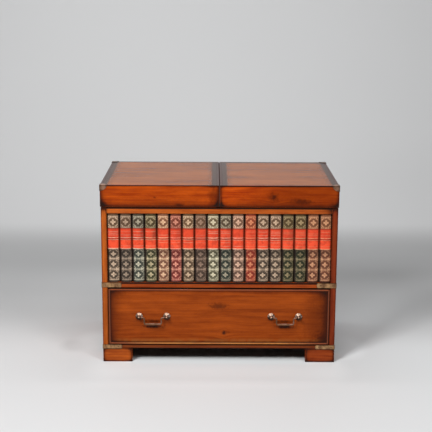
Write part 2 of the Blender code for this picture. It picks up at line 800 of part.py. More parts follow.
def make_bail(name, x, axis):
    half = bail_path()
    path = half + [(-across, drop, radius) for across, drop, radius in reversed(half[:-1])]
    curve = bpy.data.curves.new(name, "CURVE")
    curve.dimensions = "3D"
    curve.bevel_depth = 1.0
    curve.bevel_resolution = 2
    curve.render_resolution_u = 0
    curve.use_fill_caps = True
    spline = curve.splines.new("POLY")
    spline.points.add(len(path) - 1)
    for point, (across, drop, radius) in zip(spline.points, path):
        point.co = (across, 0.0, -drop, 1.0)
        point.radius = radius
    spline.use_smooth = True
    bail = bpy.data.objects.new(name, curve)
    bpy.context.scene.collection.objects.link(bail)
    bail.location = (x, HEAD_Y, HANDLE_LEVEL)
    as_piece(bail, name, "aged_brass", axis)


def make_handles(drawer_axis):
    for hand, side in (("left", -1), ("right", 1)):
        middle = side * HANDLE_OFFSET
        for end in (-1, 1):
            name = "handle_" + hand + "_post_" + ("left" if end < 0 else "right")
            x = middle + end * POST_SPACING / 2
            post = turned(name, post_profile(), (x, CASE_FRONT, HANDLE_LEVEL), 16)
            pin_end = x + end * (BAIL_PIN_REACH + FIT_GAP)
            socket = rod(
                (pin_end, HEAD_Y, HANDLE_LEVEL), (x - end * 2 * HEAD_RADIUS, HEAD_Y, HANDLE_LEVEL),
                BAIL_PIN_RADIUS + FIT_GAP,
            )
            cut(post, socket, name + "_socket")
            as_piece(post, name, "aged_brass", drawer_axis)
        axis = joint_axis("bail_" + hand + "_axis", (middle, HEAD_Y, HANDLE_LEVEL))
        make_bail("handle_" + hand + "_bail", middle, axis)
        axis.parent = drawer_axis
        axis.location = axis.location - drawer_axis.location


def main():
    make_carcass()
    make_feet()
    make_bottle_rack()
    make_books()
    make_straps()
    make_lid("left", -1)
    make_lid("right", 1)
    drawer_axis = joint_axis("drawer_axis", (0.0, CASE_FRONT, (DRAWER_BASE + DRAWER_TOP) / 2))
    make_drawer(drawer_axis)
    make_handles(drawer_axis)


clear_scene()
PIECES = new_collection("drinks_cabinet")
CUTTERS = new_collection("cutters")
main()
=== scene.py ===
"""Finishes a drinks cabinet: waxed mahogany, tooled leather spines and aged brass.

Metres, +Z up, front towards -Y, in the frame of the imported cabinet.
"""
from math import atan, cos, hypot, pi, radians, sin, sqrt

import bmesh
import bpy
from bpy.props import FloatProperty, FloatVectorProperty, IntProperty, PointerProperty
from mathutils import Matrix, Vector


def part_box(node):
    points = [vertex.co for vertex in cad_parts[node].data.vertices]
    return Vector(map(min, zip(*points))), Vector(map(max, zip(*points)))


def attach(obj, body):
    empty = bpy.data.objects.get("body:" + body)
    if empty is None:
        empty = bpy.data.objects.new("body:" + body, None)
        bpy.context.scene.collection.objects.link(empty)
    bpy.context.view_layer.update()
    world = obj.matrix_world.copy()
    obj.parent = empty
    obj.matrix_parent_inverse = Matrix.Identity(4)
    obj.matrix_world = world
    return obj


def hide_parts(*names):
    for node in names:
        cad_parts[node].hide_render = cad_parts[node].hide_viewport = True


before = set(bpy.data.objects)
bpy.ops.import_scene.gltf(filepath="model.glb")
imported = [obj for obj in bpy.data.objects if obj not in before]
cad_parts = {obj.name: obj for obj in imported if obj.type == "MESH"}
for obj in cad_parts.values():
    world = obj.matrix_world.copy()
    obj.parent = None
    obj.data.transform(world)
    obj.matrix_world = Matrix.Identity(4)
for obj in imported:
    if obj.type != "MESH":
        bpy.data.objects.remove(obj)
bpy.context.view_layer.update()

bl_info = {
    "name": "Drinks Cabinet Finishes",
    "version": (1, 0, 0),
    "blender": (4, 5, 0),
    "location": "3D View > Sidebar > Cabinet",
    "description": "Wood, leather and brass for a bottle chest with a front of book spines",
    "category": "Object",
}

LID_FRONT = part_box("lid_left_frame")[0].y
CASE_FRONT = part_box("side_left")[0].y
DRAWER_LOW, DRAWER_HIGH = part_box("drawer_front")
LEAF_OUTER = abs(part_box("hinge_left_lid_leaf")[0].x)
SIDES = (("left", -1), ("right", 1))


# Sizes and colours that a user would change

def length(name, description, default):
    return FloatProperty(name=name, description=description, default=default, unit="LENGTH", precision=4)


def colour(name, description, default):
    return FloatVectorProperty(
        name=name, description=description, default=default, size=3, min=0.0, max=1.0, subtype="COLOR",
    )


class CabinetSizes(bpy.types.PropertyGroup):
    """Sizes of the fine pieces."""
    band_height: length("Band height", "How tall a raised band of a book is", 0.0050)
    band_stand: length("Band stand", "How far a raised band stands out from the leather", 0.0013)
    cap_height: length("Cap height", "How tall the turned-in cap at a book's head and tail is", 0.0040)
    spine_crown: length("Spine crown", "How far the round of a book's back stands out", 0.0085)
    border_width: length("Border width", "Width of the dark border round each lid's top", 0.0260)
    string_width: length("String width", "Width of the string line inside the border", 0.0012)
    screw_radius: length("Screw radius", "Radius of a strap's screw heads", 0.0026)
    turning_steps: IntProperty(
        name="Turning steps", description="Facets round a turned post", default=48, min=12,
    )


class CabinetColours(bpy.types.PropertyGroup):
    """Colours of the finishes, as linear red, green and blue."""
    lid_light: colour("Lid wood, light", "Bright streaks in the lids' wood", (0.650, 0.112, 0.006))
    lid_dark: colour("Lid wood, dark", "Dark streaks in the lids' wood", (0.230, 0.020, 0.002))
    top_light: colour("Top wood, light", "Bright streaks on top of the lids", (0.480, 0.122, 0.006))
    top_dark: colour("Top wood, dark", "Dark streaks on top of the lids", (0.170, 0.036, 0.004))
    case_light: colour("Case wood, light", "Bright streaks in the case's wood", (0.560, 0.125, 0.016))
    case_dark: colour("Case wood, dark", "Dark streaks in the case's wood", (0.200, 0.028, 0.005))
    drawer_light: colour("Drawer front, light", "Bright streaks in its wood", (0.440, 0.082, 0.008))
    drawer_dark: colour("Drawer front, dark", "Dark streaks in its wood", (0.170, 0.024, 0.003))
    inner_light: colour("Inner wood, light", "Bright streaks in drawer box and rack", (0.430, 0.215, 0.090))
    inner_dark: colour("Inner wood, dark", "Dark streaks in drawer box and rack", (0.210, 0.085, 0.032))
    bead: colour("Bead", "Wood of the drawer's bead", (0.235, 0.060, 0.026))
    rubbed_bead: colour("Rubbed bead", "The bead's bottom where it is rubbed bright", (0.720, 0.290, 0.060))
    # The stain and the burnt red-brown also serve as painted shade: strips under the lids, books and drawer,
    # shadows round the handles, undersides, the gaps between the books and the bead's sides
    stain: colour("Stain", "Dark stain at worn edges and in the borders", (0.014, 0.008, 0.006))
    burn: colour("Burnt edge", "Red-brown wood where the stain thins out", (0.090, 0.011, 0.001))
    # The felt is a dark grey strip standing in for the shade in the joint between the lids
    felt: colour("Felt", "Grey felt in the joint between the lids", (0.090, 0.078, 0.070))
    dust: colour("Dust", "Old wax and dust along the drawer's lower edge", (0.300, 0.130, 0.030))
    corner: colour("Corner brass", "Dull brass of the lids' corners", (0.550, 0.305, 0.205))
    bail: colour("Bail brass", "Handled brass of the bails", (0.420, 0.240, 0.185))
    post: colour("Post brass", "Polished brass of the handle posts", (0.880, 0.660, 0.520))
    brass: colour("Brass", "Rubbed brass", (0.640, 0.370, 0.170))
    tarnish: colour("Tarnish", "Brown tarnish on the brass", (0.210, 0.105, 0.055))
    label: colour("Label", "Bright red leather of the title labels", (0.930, 0.090, 0.032))
    old_label: colour("Old label", "The same leather where it has darkened", (0.560, 0.046, 0.018))
    floor: colour("Floor", "The plain floor and backdrop", (0.780, 0.785, 0.790))
    # The floor is lightened towards this colour close round the cabinet: painted light
    pale_floor: colour("Pale floor", "The floor close round the cabinet", (0.925, 0.950, 0.960))


# Values that run through a node tree

class Wire:
    """A value in a node tree. Sums and products of wires add Math nodes."""

    def __init__(self, graph, socket):
        self.graph = graph
        self.socket = socket

    def __add__(self, other):
        return self.graph.math("ADD", self, other)

    def __sub__(self, other):
        return self.graph.math("SUBTRACT", self, other)

    def __rsub__(self, other):
        return self.graph.math("SUBTRACT", other, self)

    def __mul__(self, other):
        return self.graph.math("MULTIPLY", self, other)

    def __truediv__(self, other):
        return self.graph.math("DIVIDE", self, other)

    def __pow__(self, other):
        return self.graph.math("POWER", self, other)

    def __abs__(self):
        return self.graph.math("ABSOLUTE", self)


class Graph:
    """Lays out a node tree and joins its sockets."""
    COLUMNS = 14
    COLUMN_WIDTH = 190
    ROW_HEIGHT = 240

    def __init__(self, tree):
        self.tree = tree

    def node(self, kind, inputs=None, **settings):
        made = self.tree.nodes.new(kind)
        row, column = divmod(len(self.tree.nodes), self.COLUMNS)
        made.location = (self.COLUMN_WIDTH * column, -self.ROW_HEIGHT * row)
        for key, value in settings.items():
            setattr(made, key, value)
        for key, value in (inputs or {}).items():
            self.feed(made.inputs[key], value)
        return made

    def feed(self, socket, value):
        """Joins a wire to a socket, or sets the socket to a plain value."""
        if isinstance(value, Wire):
            self.tree.links.new(value.socket, socket)
        elif socket.type == "RGBA":
            socket.default_value = (*value, 1.0)
        else:
            socket.default_value = value

    def wire(self, node, output=0):
        return Wire(self, node.outputs[output])

    def math(self, operation, *values):
        return self.wire(self.node("ShaderNodeMath", dict(enumerate(values)), operation=operation))

    def smaller(self, first, *others):
        for value in others:
            first = self.math("MINIMUM", first, value)
        return first

    def larger(self, first, *others):
        for value in others:
            first = self.math("MAXIMUM", first, value)
        return first

    def hypot(self, first, *others):
        total = first * first
        for value in others:
            total = total + value * value
        return self.math("SQRT", total)

    def ramp(self, value, start, end, kind="SMOOTHSTEP"):
        """From 0 at start to 1 at end, level outside them."""
        made = self.node("ShaderNodeMapRange", {0: value, 1: start, 2: end}, interpolation_type=kind)
        return self.wire(made)

    def near(self, value, level, outer, inner):
        """From 0 at the outer distance from a level to 1 at the inner one."""
        return self.ramp(abs(value - level), outer, inner)

    def vector(self, *values):
        return self.wire(self.node("ShaderNodeCombineXYZ", dict(enumerate(values))))

    def split(self, vector):
        made = self.node("ShaderNodeSeparateXYZ", {0: vector})
        return [self.wire(made, axis) for axis in range(3)]

    def noise(self, vector, scale=1.0, detail=2.0, roughness=0.5):
        inputs = {"Vector": vector, "Scale": scale, "Detail": detail, "Roughness": roughness}
        return self.wire(self.node("ShaderNodeTexNoise", inputs))

    def mix(self, amount, first, second):
        """The first colour where the amount is 0 and the second where it is 1."""
        made = self.node("ShaderNodeMix", {0: amount, 6: first, 7: second}, data_type="RGBA")
        return self.wire(made, 2)

    def effect(self, name, **inputs):
        """A shared effect, placed with its own values. Gives its outputs by name."""
        made = self.node("ShaderNodeGroup", node_tree=bpy.data.node_groups[name])
        for key, value in inputs.items():
            self.feed(made.inputs[key.replace("_", " ")], value)
        return {socket.name: Wire(self, socket) for socket in made.outputs}

    def coordinates(self):
        """The place on the piece, and the way its surface faces, both in its own space."""
        made = self.node("ShaderNodeTexCoord")
        return self.wire(made, "Object"), self.wire(made, "Normal")


SOCKETS = {"value": "NodeSocketFloat", "vector": "NodeSocketVector", "colour": "NodeSocketColor"}


def new_effect(name, inputs, outputs, fill):
    """Makes a shared node group from a function of its named inputs."""
    tree = bpy.data.node_groups.new(name, "ShaderNodeTree")
    for label, (kind, default) in inputs.items():
        socket = tree.interface.new_socket(name=label, in_out="INPUT", socket_type=SOCKETS[kind])
        socket.default_value = (*default, 1.0) if kind == "colour" else default
    for label, kind in outputs.items():
        tree.interface.new_socket(name=label, in_out="OUTPUT", socket_type=SOCKETS[kind])
    graph = Graph(tree)
    given = graph.node("NodeGroupInput")
    results = fill(graph, *[graph.wire(given, label) for label in inputs])
    shown = graph.node("NodeGroupOutput")
    for label, result in zip(outputs, results):
        graph.feed(shown.inputs[label], result)
    return tree


# Shared effects

# The stain of two edges gathers in their corner from this many of its reaches away
CORNER_REACHES = 2.6
# Keeps an edge's line off the faces that look along that axis
FAR_AWAY = 10.0


def fill_grain(g, place, seed, sway, blotched, light, dark):
    """Long ribbons, streaks, blotches, fine fibres and short open pores, drawn out along the grain."""
    along, across, out = g.split(place)
    out = out + seed

    def figure(lengthwise, crosswise, **settings):
        """Noise that changes about so many times a metre along the grain and across it."""
        return g.noise(g.vector(along * lengthwise, across * crosswise, out * crosswise), **settings)

    across = across + (figure(2.4, 7) - 0.5) * sway
    broad = g.ramp(figure(1.5, 15, detail=3.0), 0.3, 0.7)
    ribbon = g.ramp(figure(5, 75, detail=4.0, roughness=0.6), 0.3, 0.7)
    blotch = g.ramp(figure(15, 70, detail=3.0), 0.30, 0.70)
    streak = g.ramp(figure(3.5, 210), 0.32, 0.68)
    fibre = figure(24, 420)
    pore = g.ramp(figure(70, 1500, detail=1.0), 0.60, 0.72)
    tone = broad * 0.30 + ribbon * 0.24 + streak * 0.20 + fibre * 0.22 - pore * 0.22
    tone = tone + (blotch - 0.5) * blotched
    return [g.mix(g.ramp(tone, -0.02, 0.86, "LINEAR"), dark, light), fibre * 0.6 - pore, tone]


def fill_shading(g, place, facing, low, high, reach_low, reach_high, line, wobble, gathered):
    """Stain left along a board's edges, and painted shade where a board is given a long reach: a soft shade
    of its own reach at each side, and a fine line.
    """
    wander = (g.noise(place, scale=26.0, detail=3.0) - 0.5) * wobble + 1.0
    shades = []
    wides = []
    edges = []
    axes = zip(*[g.split(given) for given in (place, facing, low, high, reach_low, reach_high)])
    for here, face, bottom, top, below, above in axes:
        on_edge = 1.0 - abs(face)
        from_low = (here - bottom) * wander
        from_high = (top - here) * wander
        nearest = g.smaller(from_low / below, from_high / above)
        shades.append(g.ramp(nearest, 1.0, 0.0, "LINEAR") * on_edge)
        wides.append(g.ramp(nearest, CORNER_REACHES, 0.0, "LINEAR") * on_edge)
        edges.append(g.smaller(from_low, from_high) + abs(face) * FAR_AWAY)
    corner = g.larger(wides[0] * wides[1], wides[1] * wides[2], wides[2] * wides[0]) ** 2.0
    shade = g.smaller(g.smaller(g.hypot(*shades), 1.0) ** 2.0 + corner * gathered, 1.0)
    edge = g.ramp(g.smaller(*edges), line, 0.0)
    return [shade, edge]


def fill_knot(g, place, centre, size):
    """A dark knot, and how far the grain swings round it."""
    x, y, z = g.split(place)
    across, depth, up = g.split(centre)
    wide, deep, tall = g.split(size)
    ragged = (g.noise(place, scale=120.0) - 0.5) * 0.8
    away = g.hypot((x - across) / wide, (y - depth) / deep, (z - up) / tall)
    mask = g.ramp(away + ragged, 1.0, 0.15)
    swing = (z - up) * -0.75 / (away * away * 0.22 + 1.0)
    return [mask, swing]


def fill_border(g, place, facing, low, high, narrow_low, narrow_high, width, string):
    """A border round a lid's top, the string line inside it, and which way its mitred pieces lie."""
    x, y, z = g.split(place)
    left, front, _ = g.split(low)
    right, back, top = g.split(high)
    left_narrow, front_narrow, _ = g.split(narrow_low)
    right_narrow, back_narrow, _ = g.split(narrow_high)
    from_side = g.smaller((x - left) * left_narrow, (right - x) * right_narrow)
    from_end = g.smaller((y - front) * front_narrow, (back - y) * back_narrow)
    waver = (g.noise(place, scale=90.0, detail=3.0) - 0.5) * 0.003
    inward = g.smaller(from_side, from_end) + waver
    on_top = g.ramp(g.split(facing)[2], 0.55, 0.75) * g.ramp(z, top - 0.004, top - 0.002)
    band = g.ramp(inward, width + 0.001, width - 0.003) * on_top
    halo = g.ramp(from_side, width + 0.024, width) * on_top
    line = g.near(inward, width + string, string, string * 0.4) * on_top
    sideways = g.math("LESS_THAN", from_side, from_end)
    return [band, line, halo, sideways]


def fill_leather(g, place, seed):
    """The pebble of worn calf, the mottle of its colour, and where handling has rubbed it."""
    x, y, z = g.split(place)
    shifted = g.vector(x, y + seed, z)
    pebble = g.node("ShaderNodeTexVoronoi", {"Vector": shifted, "Scale": 900.0}, feature="SMOOTH_F1")
    mottle = g.ramp(g.noise(shifted, scale=70.0, detail=4.0), 0.32, 0.68)
    rubbed = g.ramp(g.noise(shifted, scale=160.0, detail=5.0, roughness=0.65), 0.52, 0.70)
    return [g.wire(pebble, "Distance"), mottle, rubbed]


def fill_tarnish(g, place, facing, seed, amount):
    """Patches of tarnish on brass, more of it where the brass faces down, and the dents in it."""
    x, y, z = g.split(place)
    shifted = g.vector(x, y + seed, z)
    patch = g.noise(shifted, scale=55.0, detail=4.0, roughness=0.55)
    speck = g.ramp(g.noise(shifted, scale=700.0), 0.62, 0.72)
    sheltered = g.ramp(g.split(facing)[2], 0.5, -0.8) * 0.35
    mask = g.ramp(patch + sheltered + amount - 0.5, 0.30, 0.72)
    mask = g.larger(mask, speck * 0.7)
    dent = g.noise(shifted, scale=260.0, detail=3.0)
    return [mask, dent]


# Heights above a book's foot, in metres
BAND_LEVELS = (0.0450, 0.0818, 0.1170, 0.1516)
LABEL_BASE = 0.1160
LABEL_TOP = 0.1882
PANELS = ((0.0085, 0.0450), (0.0450, 0.0818), (0.0818, 0.1160), (0.1896, 0.2290))
# Painted shade in a crease just below the labels, and the dark upper end of each label
CREASE = 0.1140
LABEL_SHADE = 0.1864
# Gilt rules that run right across, with how bright each one is
RULES = (
    (0.0030, 0.40), (0.0078, 0.90), (0.1185, 0.45), (0.1482, 0.80),
    (0.1552, 0.95), (0.1890, 0.35), (0.2295, 0.95),
)
# Rules of which each book lacks some
STRAY_RULES = (0.1265, 0.1390, 0.1645, 0.1705, 0.1762)
# Where the painted shade at the foot and the painted shadow of the top rail at the head fade in, and where
# painted light brightens the gilding towards the head
FOOT_SHADE = (0.0055, 0.0010)
HEAD_SHADOW = (0.2362, 0.2390)
HEAD_PAINTED_LIGHT = (0.2080, 0.2260)


def panel_place(g, level):
    """The middle of the panel that a level falls in, and half its height."""
    centre = sum(PANELS[0]) / 2
    half = (PANELS[0][1] - PANELS[0][0]) / 2
    for before, panel in zip(PANELS, PANELS[1:]):
        past = g.math("GREATER_THAN", level, panel[0])
        centre = past * (sum(panel) / 2 - sum(before) / 2) + centre
        half = past * ((panel[1] - panel[0] - before[1] + before[0]) / 2) + half
    return centre, half


def panel_ornament(g, u, v, at_top):
    """Gilding of one panel, by shares of its half width and height, and the dark ring in it.

    The flower has four petals with veins and an eye, a thin dotted ring and fans in the corners."""
    from_middle = g.hypot(u, v)
    squarish = (abs(u) ** 1.45 + abs(v) ** 1.45) ** 0.69
    turn = g.math("ARCTAN2", v, u)
    petal = abs(g.math("COSINE", turn * 2.0)) ** 1.3 * 0.27 + 0.19
    vein = g.ramp(abs(g.math("SINE", turn * 4.0)), 0.05, 0.30) * 0.3 + 0.7
    eye = g.ramp(abs(from_middle - 0.12), 0.02, 0.05) * 0.4 + 0.6
    flower = g.ramp(from_middle - petal, 0.05, -0.03) * vein * eye
    sideways = abs(g.math("COSINE", turn)) * 0.45 + 0.42
    ring = g.ramp(squarish, 0.46, 0.54) * g.ramp(squarish, 0.80, 0.70) * sideways
    dots = g.near(squarish, 0.64, 0.05, 0.02) * g.ramp(g.math("COSINE", turn * 12.0), -0.2, 0.6)
    inward = (1.0 - abs(u), 1.0 - abs(v))
    arcs = g.ramp(g.math("COSINE", g.hypot(*inward) * 21.0), -0.35, 0.45)
    rays = g.ramp(g.math("COSINE", g.math("ARCTAN2", inward[1], inward[0]) * 12.0), -0.7, 0.1)
    fan = g.ramp(squarish, 0.70, 0.86) * g.larger(arcs * (rays * 0.4 + 0.7), 0.22)
    border = g.near(abs(v), 0.95, 0.05, 0.03)
    fan = g.smaller(fan * (at_top * 0.30 + 0.66), 1.0)
    ring = g.smaller(ring * (at_top * 0.7 + 1.0), 1.0)
    return g.larger(flower, fan, border * 0.45, dots * 0.35), ring


def add_rules(g, gilt, x, z, u, seed, broken):
    """Adds the plain rules to the gilding, with hatched bands and wedges of gold at the two lowest."""
    for level, bright in RULES:
        gilt = g.larger(gilt, g.near(z, level, 0.0010, 0.0005) * bright)
    dashed = g.ramp(abs(u), 0.86, 0.78) * 0.50
    for number, level in enumerate(STRAY_RULES):
        kept = g.ramp(g.noise(g.vector(seed * 3.7, number * 5.3, 0.5), detail=0.0), 0.44, 0.50)
        gilt = g.larger(gilt, g.near(z, level, 0.0009, 0.0004) * kept * dashed)
    hatch = g.ramp(g.math("SINE", x * 2600.0 + z * 1800.0), -0.5, 0.5) * 0.45 + 0.50
    for level in BAND_LEVELS[:3]:
        gilt = g.larger(gilt, g.near(z, level, 0.0022, 0.0014) * hatch)
    for level in BAND_LEVELS[:2]:
        wedge = g.ramp(abs(z - level) - abs(u) * 0.0070, 0.0008, -0.0012) * g.ramp(abs(u), 0.10, 0.55)
        gilt = g.larger(gilt, wedge * g.smaller(broken * 0.7 + 0.75, 1.0))
    return gilt


def fill_tooling(g, place, half_width, seed):
    """Gilt tooling on a spine: corner pieces and a flower in each panel, and plain rules on the labels.

    Gives the gilding, the dark outline round each flower with dark lines at the bands and painted shade in
    the crease below the labels, the labels, the painted shade at the spine's sides, foot and head, and the
    specks."""
    x, _, z = g.split(place)
    spot = g.vector(x, seed, z)
    centre, half = panel_place(g, z)
    waver = g.noise(spot, scale=170.0) - 0.5
    u = x / half_width + waver * 0.10
    v = (z - centre) / half + waver * 0.12
    label = g.ramp(z, LABEL_BASE, LABEL_BASE + 0.0004) * g.ramp(z, LABEL_TOP, LABEL_TOP - 0.0004)
    inside = (1.0 - g.math("GREATER_THAN", abs(v), 1.0)) * (1.0 - label)
    broken = g.noise(spot, scale=150.0) * 1.1 + 0.10
    ornament, ring = panel_ornament(g, u, v, g.ramp(z, LABEL_TOP, LABEL_TOP + 0.001))
    gilt = add_rules(g, ornament * inside, x, z, u, seed, broken)
    outline = g.larger(
        ring * broken * inside, g.near(z, BAND_LEVELS[3], 0.0022, 0.0016) * 0.55,
        g.near(z, CREASE, 0.0018, 0.0008) * 0.7, g.near(z, LABEL_SHADE, 0.0044, 0.0012) * 0.55,
    )
    speck = g.noise(spot, scale=700.0, detail=3.0, roughness=0.7)
    patch = g.noise(spot, scale=80.0, detail=3.0)
    kept = g.ramp(speck * 0.6 + patch, 0.56, 0.86)
    below_label = g.ramp(z, LABEL_BASE, LABEL_BASE - 0.004)
    # Painted shade along both sides of the spine where it rounds into the gap, a little off centre below the
    # labels, and at its foot and head
    painted_shade = g.ramp(abs(x / half_width - below_label * 0.13), 0.70, 0.94)
    painted_shade = g.larger(painted_shade, g.ramp(z, *FOOT_SHADE), g.ramp(z, *HEAD_SHADOW))
    return [gilt * (kept * 0.55 + 0.45), outline, label, painted_shade, g.ramp(speck, 0.46, 0.70) * 0.5]


def make_effects():
    """Builds each shared effect once, before the finishes that use it."""
    point = ("vector", (0.0, 0.0, 0.0))
    up = ("vector", (0.0, 0.0, 1.0))
    far = ("vector", (1.0, 1.0, 1.0))
    seed = ("value", 0.0)
    new_effect(
        "wood_grain",
        {
            "Place": point, "Seed": seed, "Sway": ("value", 0.02), "Blotched": ("value", 0.24),
            "Light": ("colour", (0.5, 0.1, 0.02)), "Dark": ("colour", (0.2, 0.03, 0.01)),
        },
        {"Colour": "colour", "Height": "value", "Tone": "value"}, fill_grain,
    )
    new_effect(
        "edge_shading",
        {
            "Place": point, "Facing": up, "Low": point, "High": far, "Reach Low": far, "Reach High": far,
            "Line": ("value", 0.003), "Wobble": ("value", 0.8), "Gathered": ("value", 1.0),
        },
        {"Shade": "value", "Edge": "value"}, fill_shading,
    )
    new_effect(
        "knot", {"Place": point, "Centre": point, "Size": far},
        {"Mask": "value", "Swing": "value"}, fill_knot,
    )
    new_effect(
        "lid_border",
        {
            "Place": point, "Facing": up, "Low": point, "High": far,
            "Narrow Low": far, "Narrow High": far, "Width": ("value", 0.026), "String": ("value", 0.001),
        },
        {"Band": "value", "Line": "value", "Halo": "value", "Sideways": "value"}, fill_border,
    )
    new_effect(
        "worn_leather", {"Place": point, "Seed": seed},
        {"Pebble": "value", "Mottle": "value", "Rubbed": "value"}, fill_leather,
    )
    new_effect(
        "brass_tarnish", {"Place": point, "Facing": up, "Seed": seed, "Amount": ("value", 0.5)},
        {"Mask": "value", "Dent": "value"}, fill_tarnish,
    )
    new_effect(
        "spine_tooling", {"Place": point, "Half Width": ("value", 0.02), "Seed": seed},
        {"Gilding": "value", "Outline": "value", "Label": "value", "Painted Shade": "value", "Speck": "value"},
        fill_tooling,
    )


# Materials

def new_material(name):
    """A material, the graph to build it with, and its Principled shader."""
    material = bpy.data.materials.new(name)
    material.use_nodes = True
    graph = Graph(material.node_tree)
    shader = material.node_tree.nodes["Principled BSDF"]
    return material, graph, shader


def dress(node, material):
    """Gives a piece one material in place of what it came with."""
    node.data.materials.clear()
    node.data.materials.append(material)


def finish(g, shader, colour, roughness, plain, relief=None):
    """Joins colour and roughness, sets what is the same all over, and adds a fine relief.

    The relief is its height, how deep it is in metres, and its strength."""
    g.feed(shader.inputs["Base Color"], colour)
    g.feed(shader.inputs["Roughness"], roughness)
    for name, value in plain.items():
        shader.inputs[name].default_value = value
    if relief:
        height, distance, strength = relief
        bump = g.node("ShaderNodeBump", {"Height": height, "Distance": distance, "Strength": strength})
        g.feed(shader.inputs["Normal"], g.wire(bump))


# What stays the same all over a finish: soft wax on wood, and dressed calf
WAX = {"Specular IOR Level": 0.0, "Coat Roughness": 0.14, "Coat IOR": 1.15}
CALF = {"Specular IOR Level": 0.15, "Coat Weight": 0.4, "Coat Roughness": 0.28, "Coat IOR": 1.25}
# How softly a dark strip ends, and how strong each part of a lid's border is
STRIP_BLUR = 0.0012
BORDER_STRENGTHS = {"Halo": 0.28, "Band": 0.82, "Line": 0.35}
# How a board's grain lies: which of x, y and z run along it, across it and out of it
LIES = {"X": (0, 2, 1), "Y": (1, 2, 0), "Z": (2, 0, 1)}
# Seeds of the noises, far enough apart that no two pieces look alike
SEED_COUNT = 997
SEED_STEP = 0.37
BOOK_SEED_STEP = 1.7


class Board:
    """What one board's finish needs beyond its colours. Any of these values can be given."""
    # Stain at the edges, and on some boards painted shade: how far it reaches in, the width of the dark line,
    # and how strong each is
    reach_low = (0.006, 0.006, 0.006)
    reach_high = None
    line = 0.0022
    depth = 0.75
    edge_depth = 0.75
    # How ragged the stain is, and how much of it gathers in the corners
    wobble = 0.8
    gathered = 1.0
    # How far the grain swings, and how blotched the wood is
    sway = 0.022
    blotched = 0.24
    # Knots, and smudges with painted shadows, as (centre, size, amount); dark strips of stain and of painted
    # shade as (bottom, top, amount)
    knots = ()
    smudges = ()
    strips = ()
    # Painted shade across the board, where the light falls off, as (from, to, amount), and dust along its
    # foot
    fade = None
    dust = 0.0
    # A lid's dark border runs over its "frame" and "panel", narrower at some edges
    border = None
    border_narrow = ((1.0, 1.0, 1.0), (1.0, 1.0, 1.0))
    # Polish, how dark the underside is, which is painted shade under the board, and the tint of the whole
    # board, which on the right-hand boards is painted shade where the light falls off
    coat = 1.0
    roughness = 0.48
    underside = 0.92
    shade = (1.0, 1.0, 1.0)

    def __init__(self, node, lie="X", **given):
        self.node = node
        self.lie = lie
        self.low, self.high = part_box(node)
        for name, value in given.items():
            setattr(self, name, value)
        self.reach_high = self.reach_high or self.reach_low


def seed_of(name):
    """A number of its own for each piece, the same at each run."""
    return (sum((index + 1) * ord(letter) for index, letter in enumerate(name)) % SEED_COUNT) * SEED_STEP


def darken(g, surface, looks, burnt, stained):
    """Takes a surface to red-brown by one mask, and on to the dark stain by another: for stain and for
    painted shade alike.
    """
    return g.mix(stained, g.mix(burnt, surface, looks.colours.burn), looks.colours.stain)


def lid_border(g, board, place, facing, looks):
    """The dark border on top of a lid, where it runs over this board."""
    return g.effect(
        "lid_border", Place=place, Facing=facing, Low=board.low, High=board.high,
        Width=looks.sizes.border_width, String=looks.sizes.string_width,
        Narrow_Low=board.border_narrow[0], Narrow_High=board.border_narrow[1],
    )


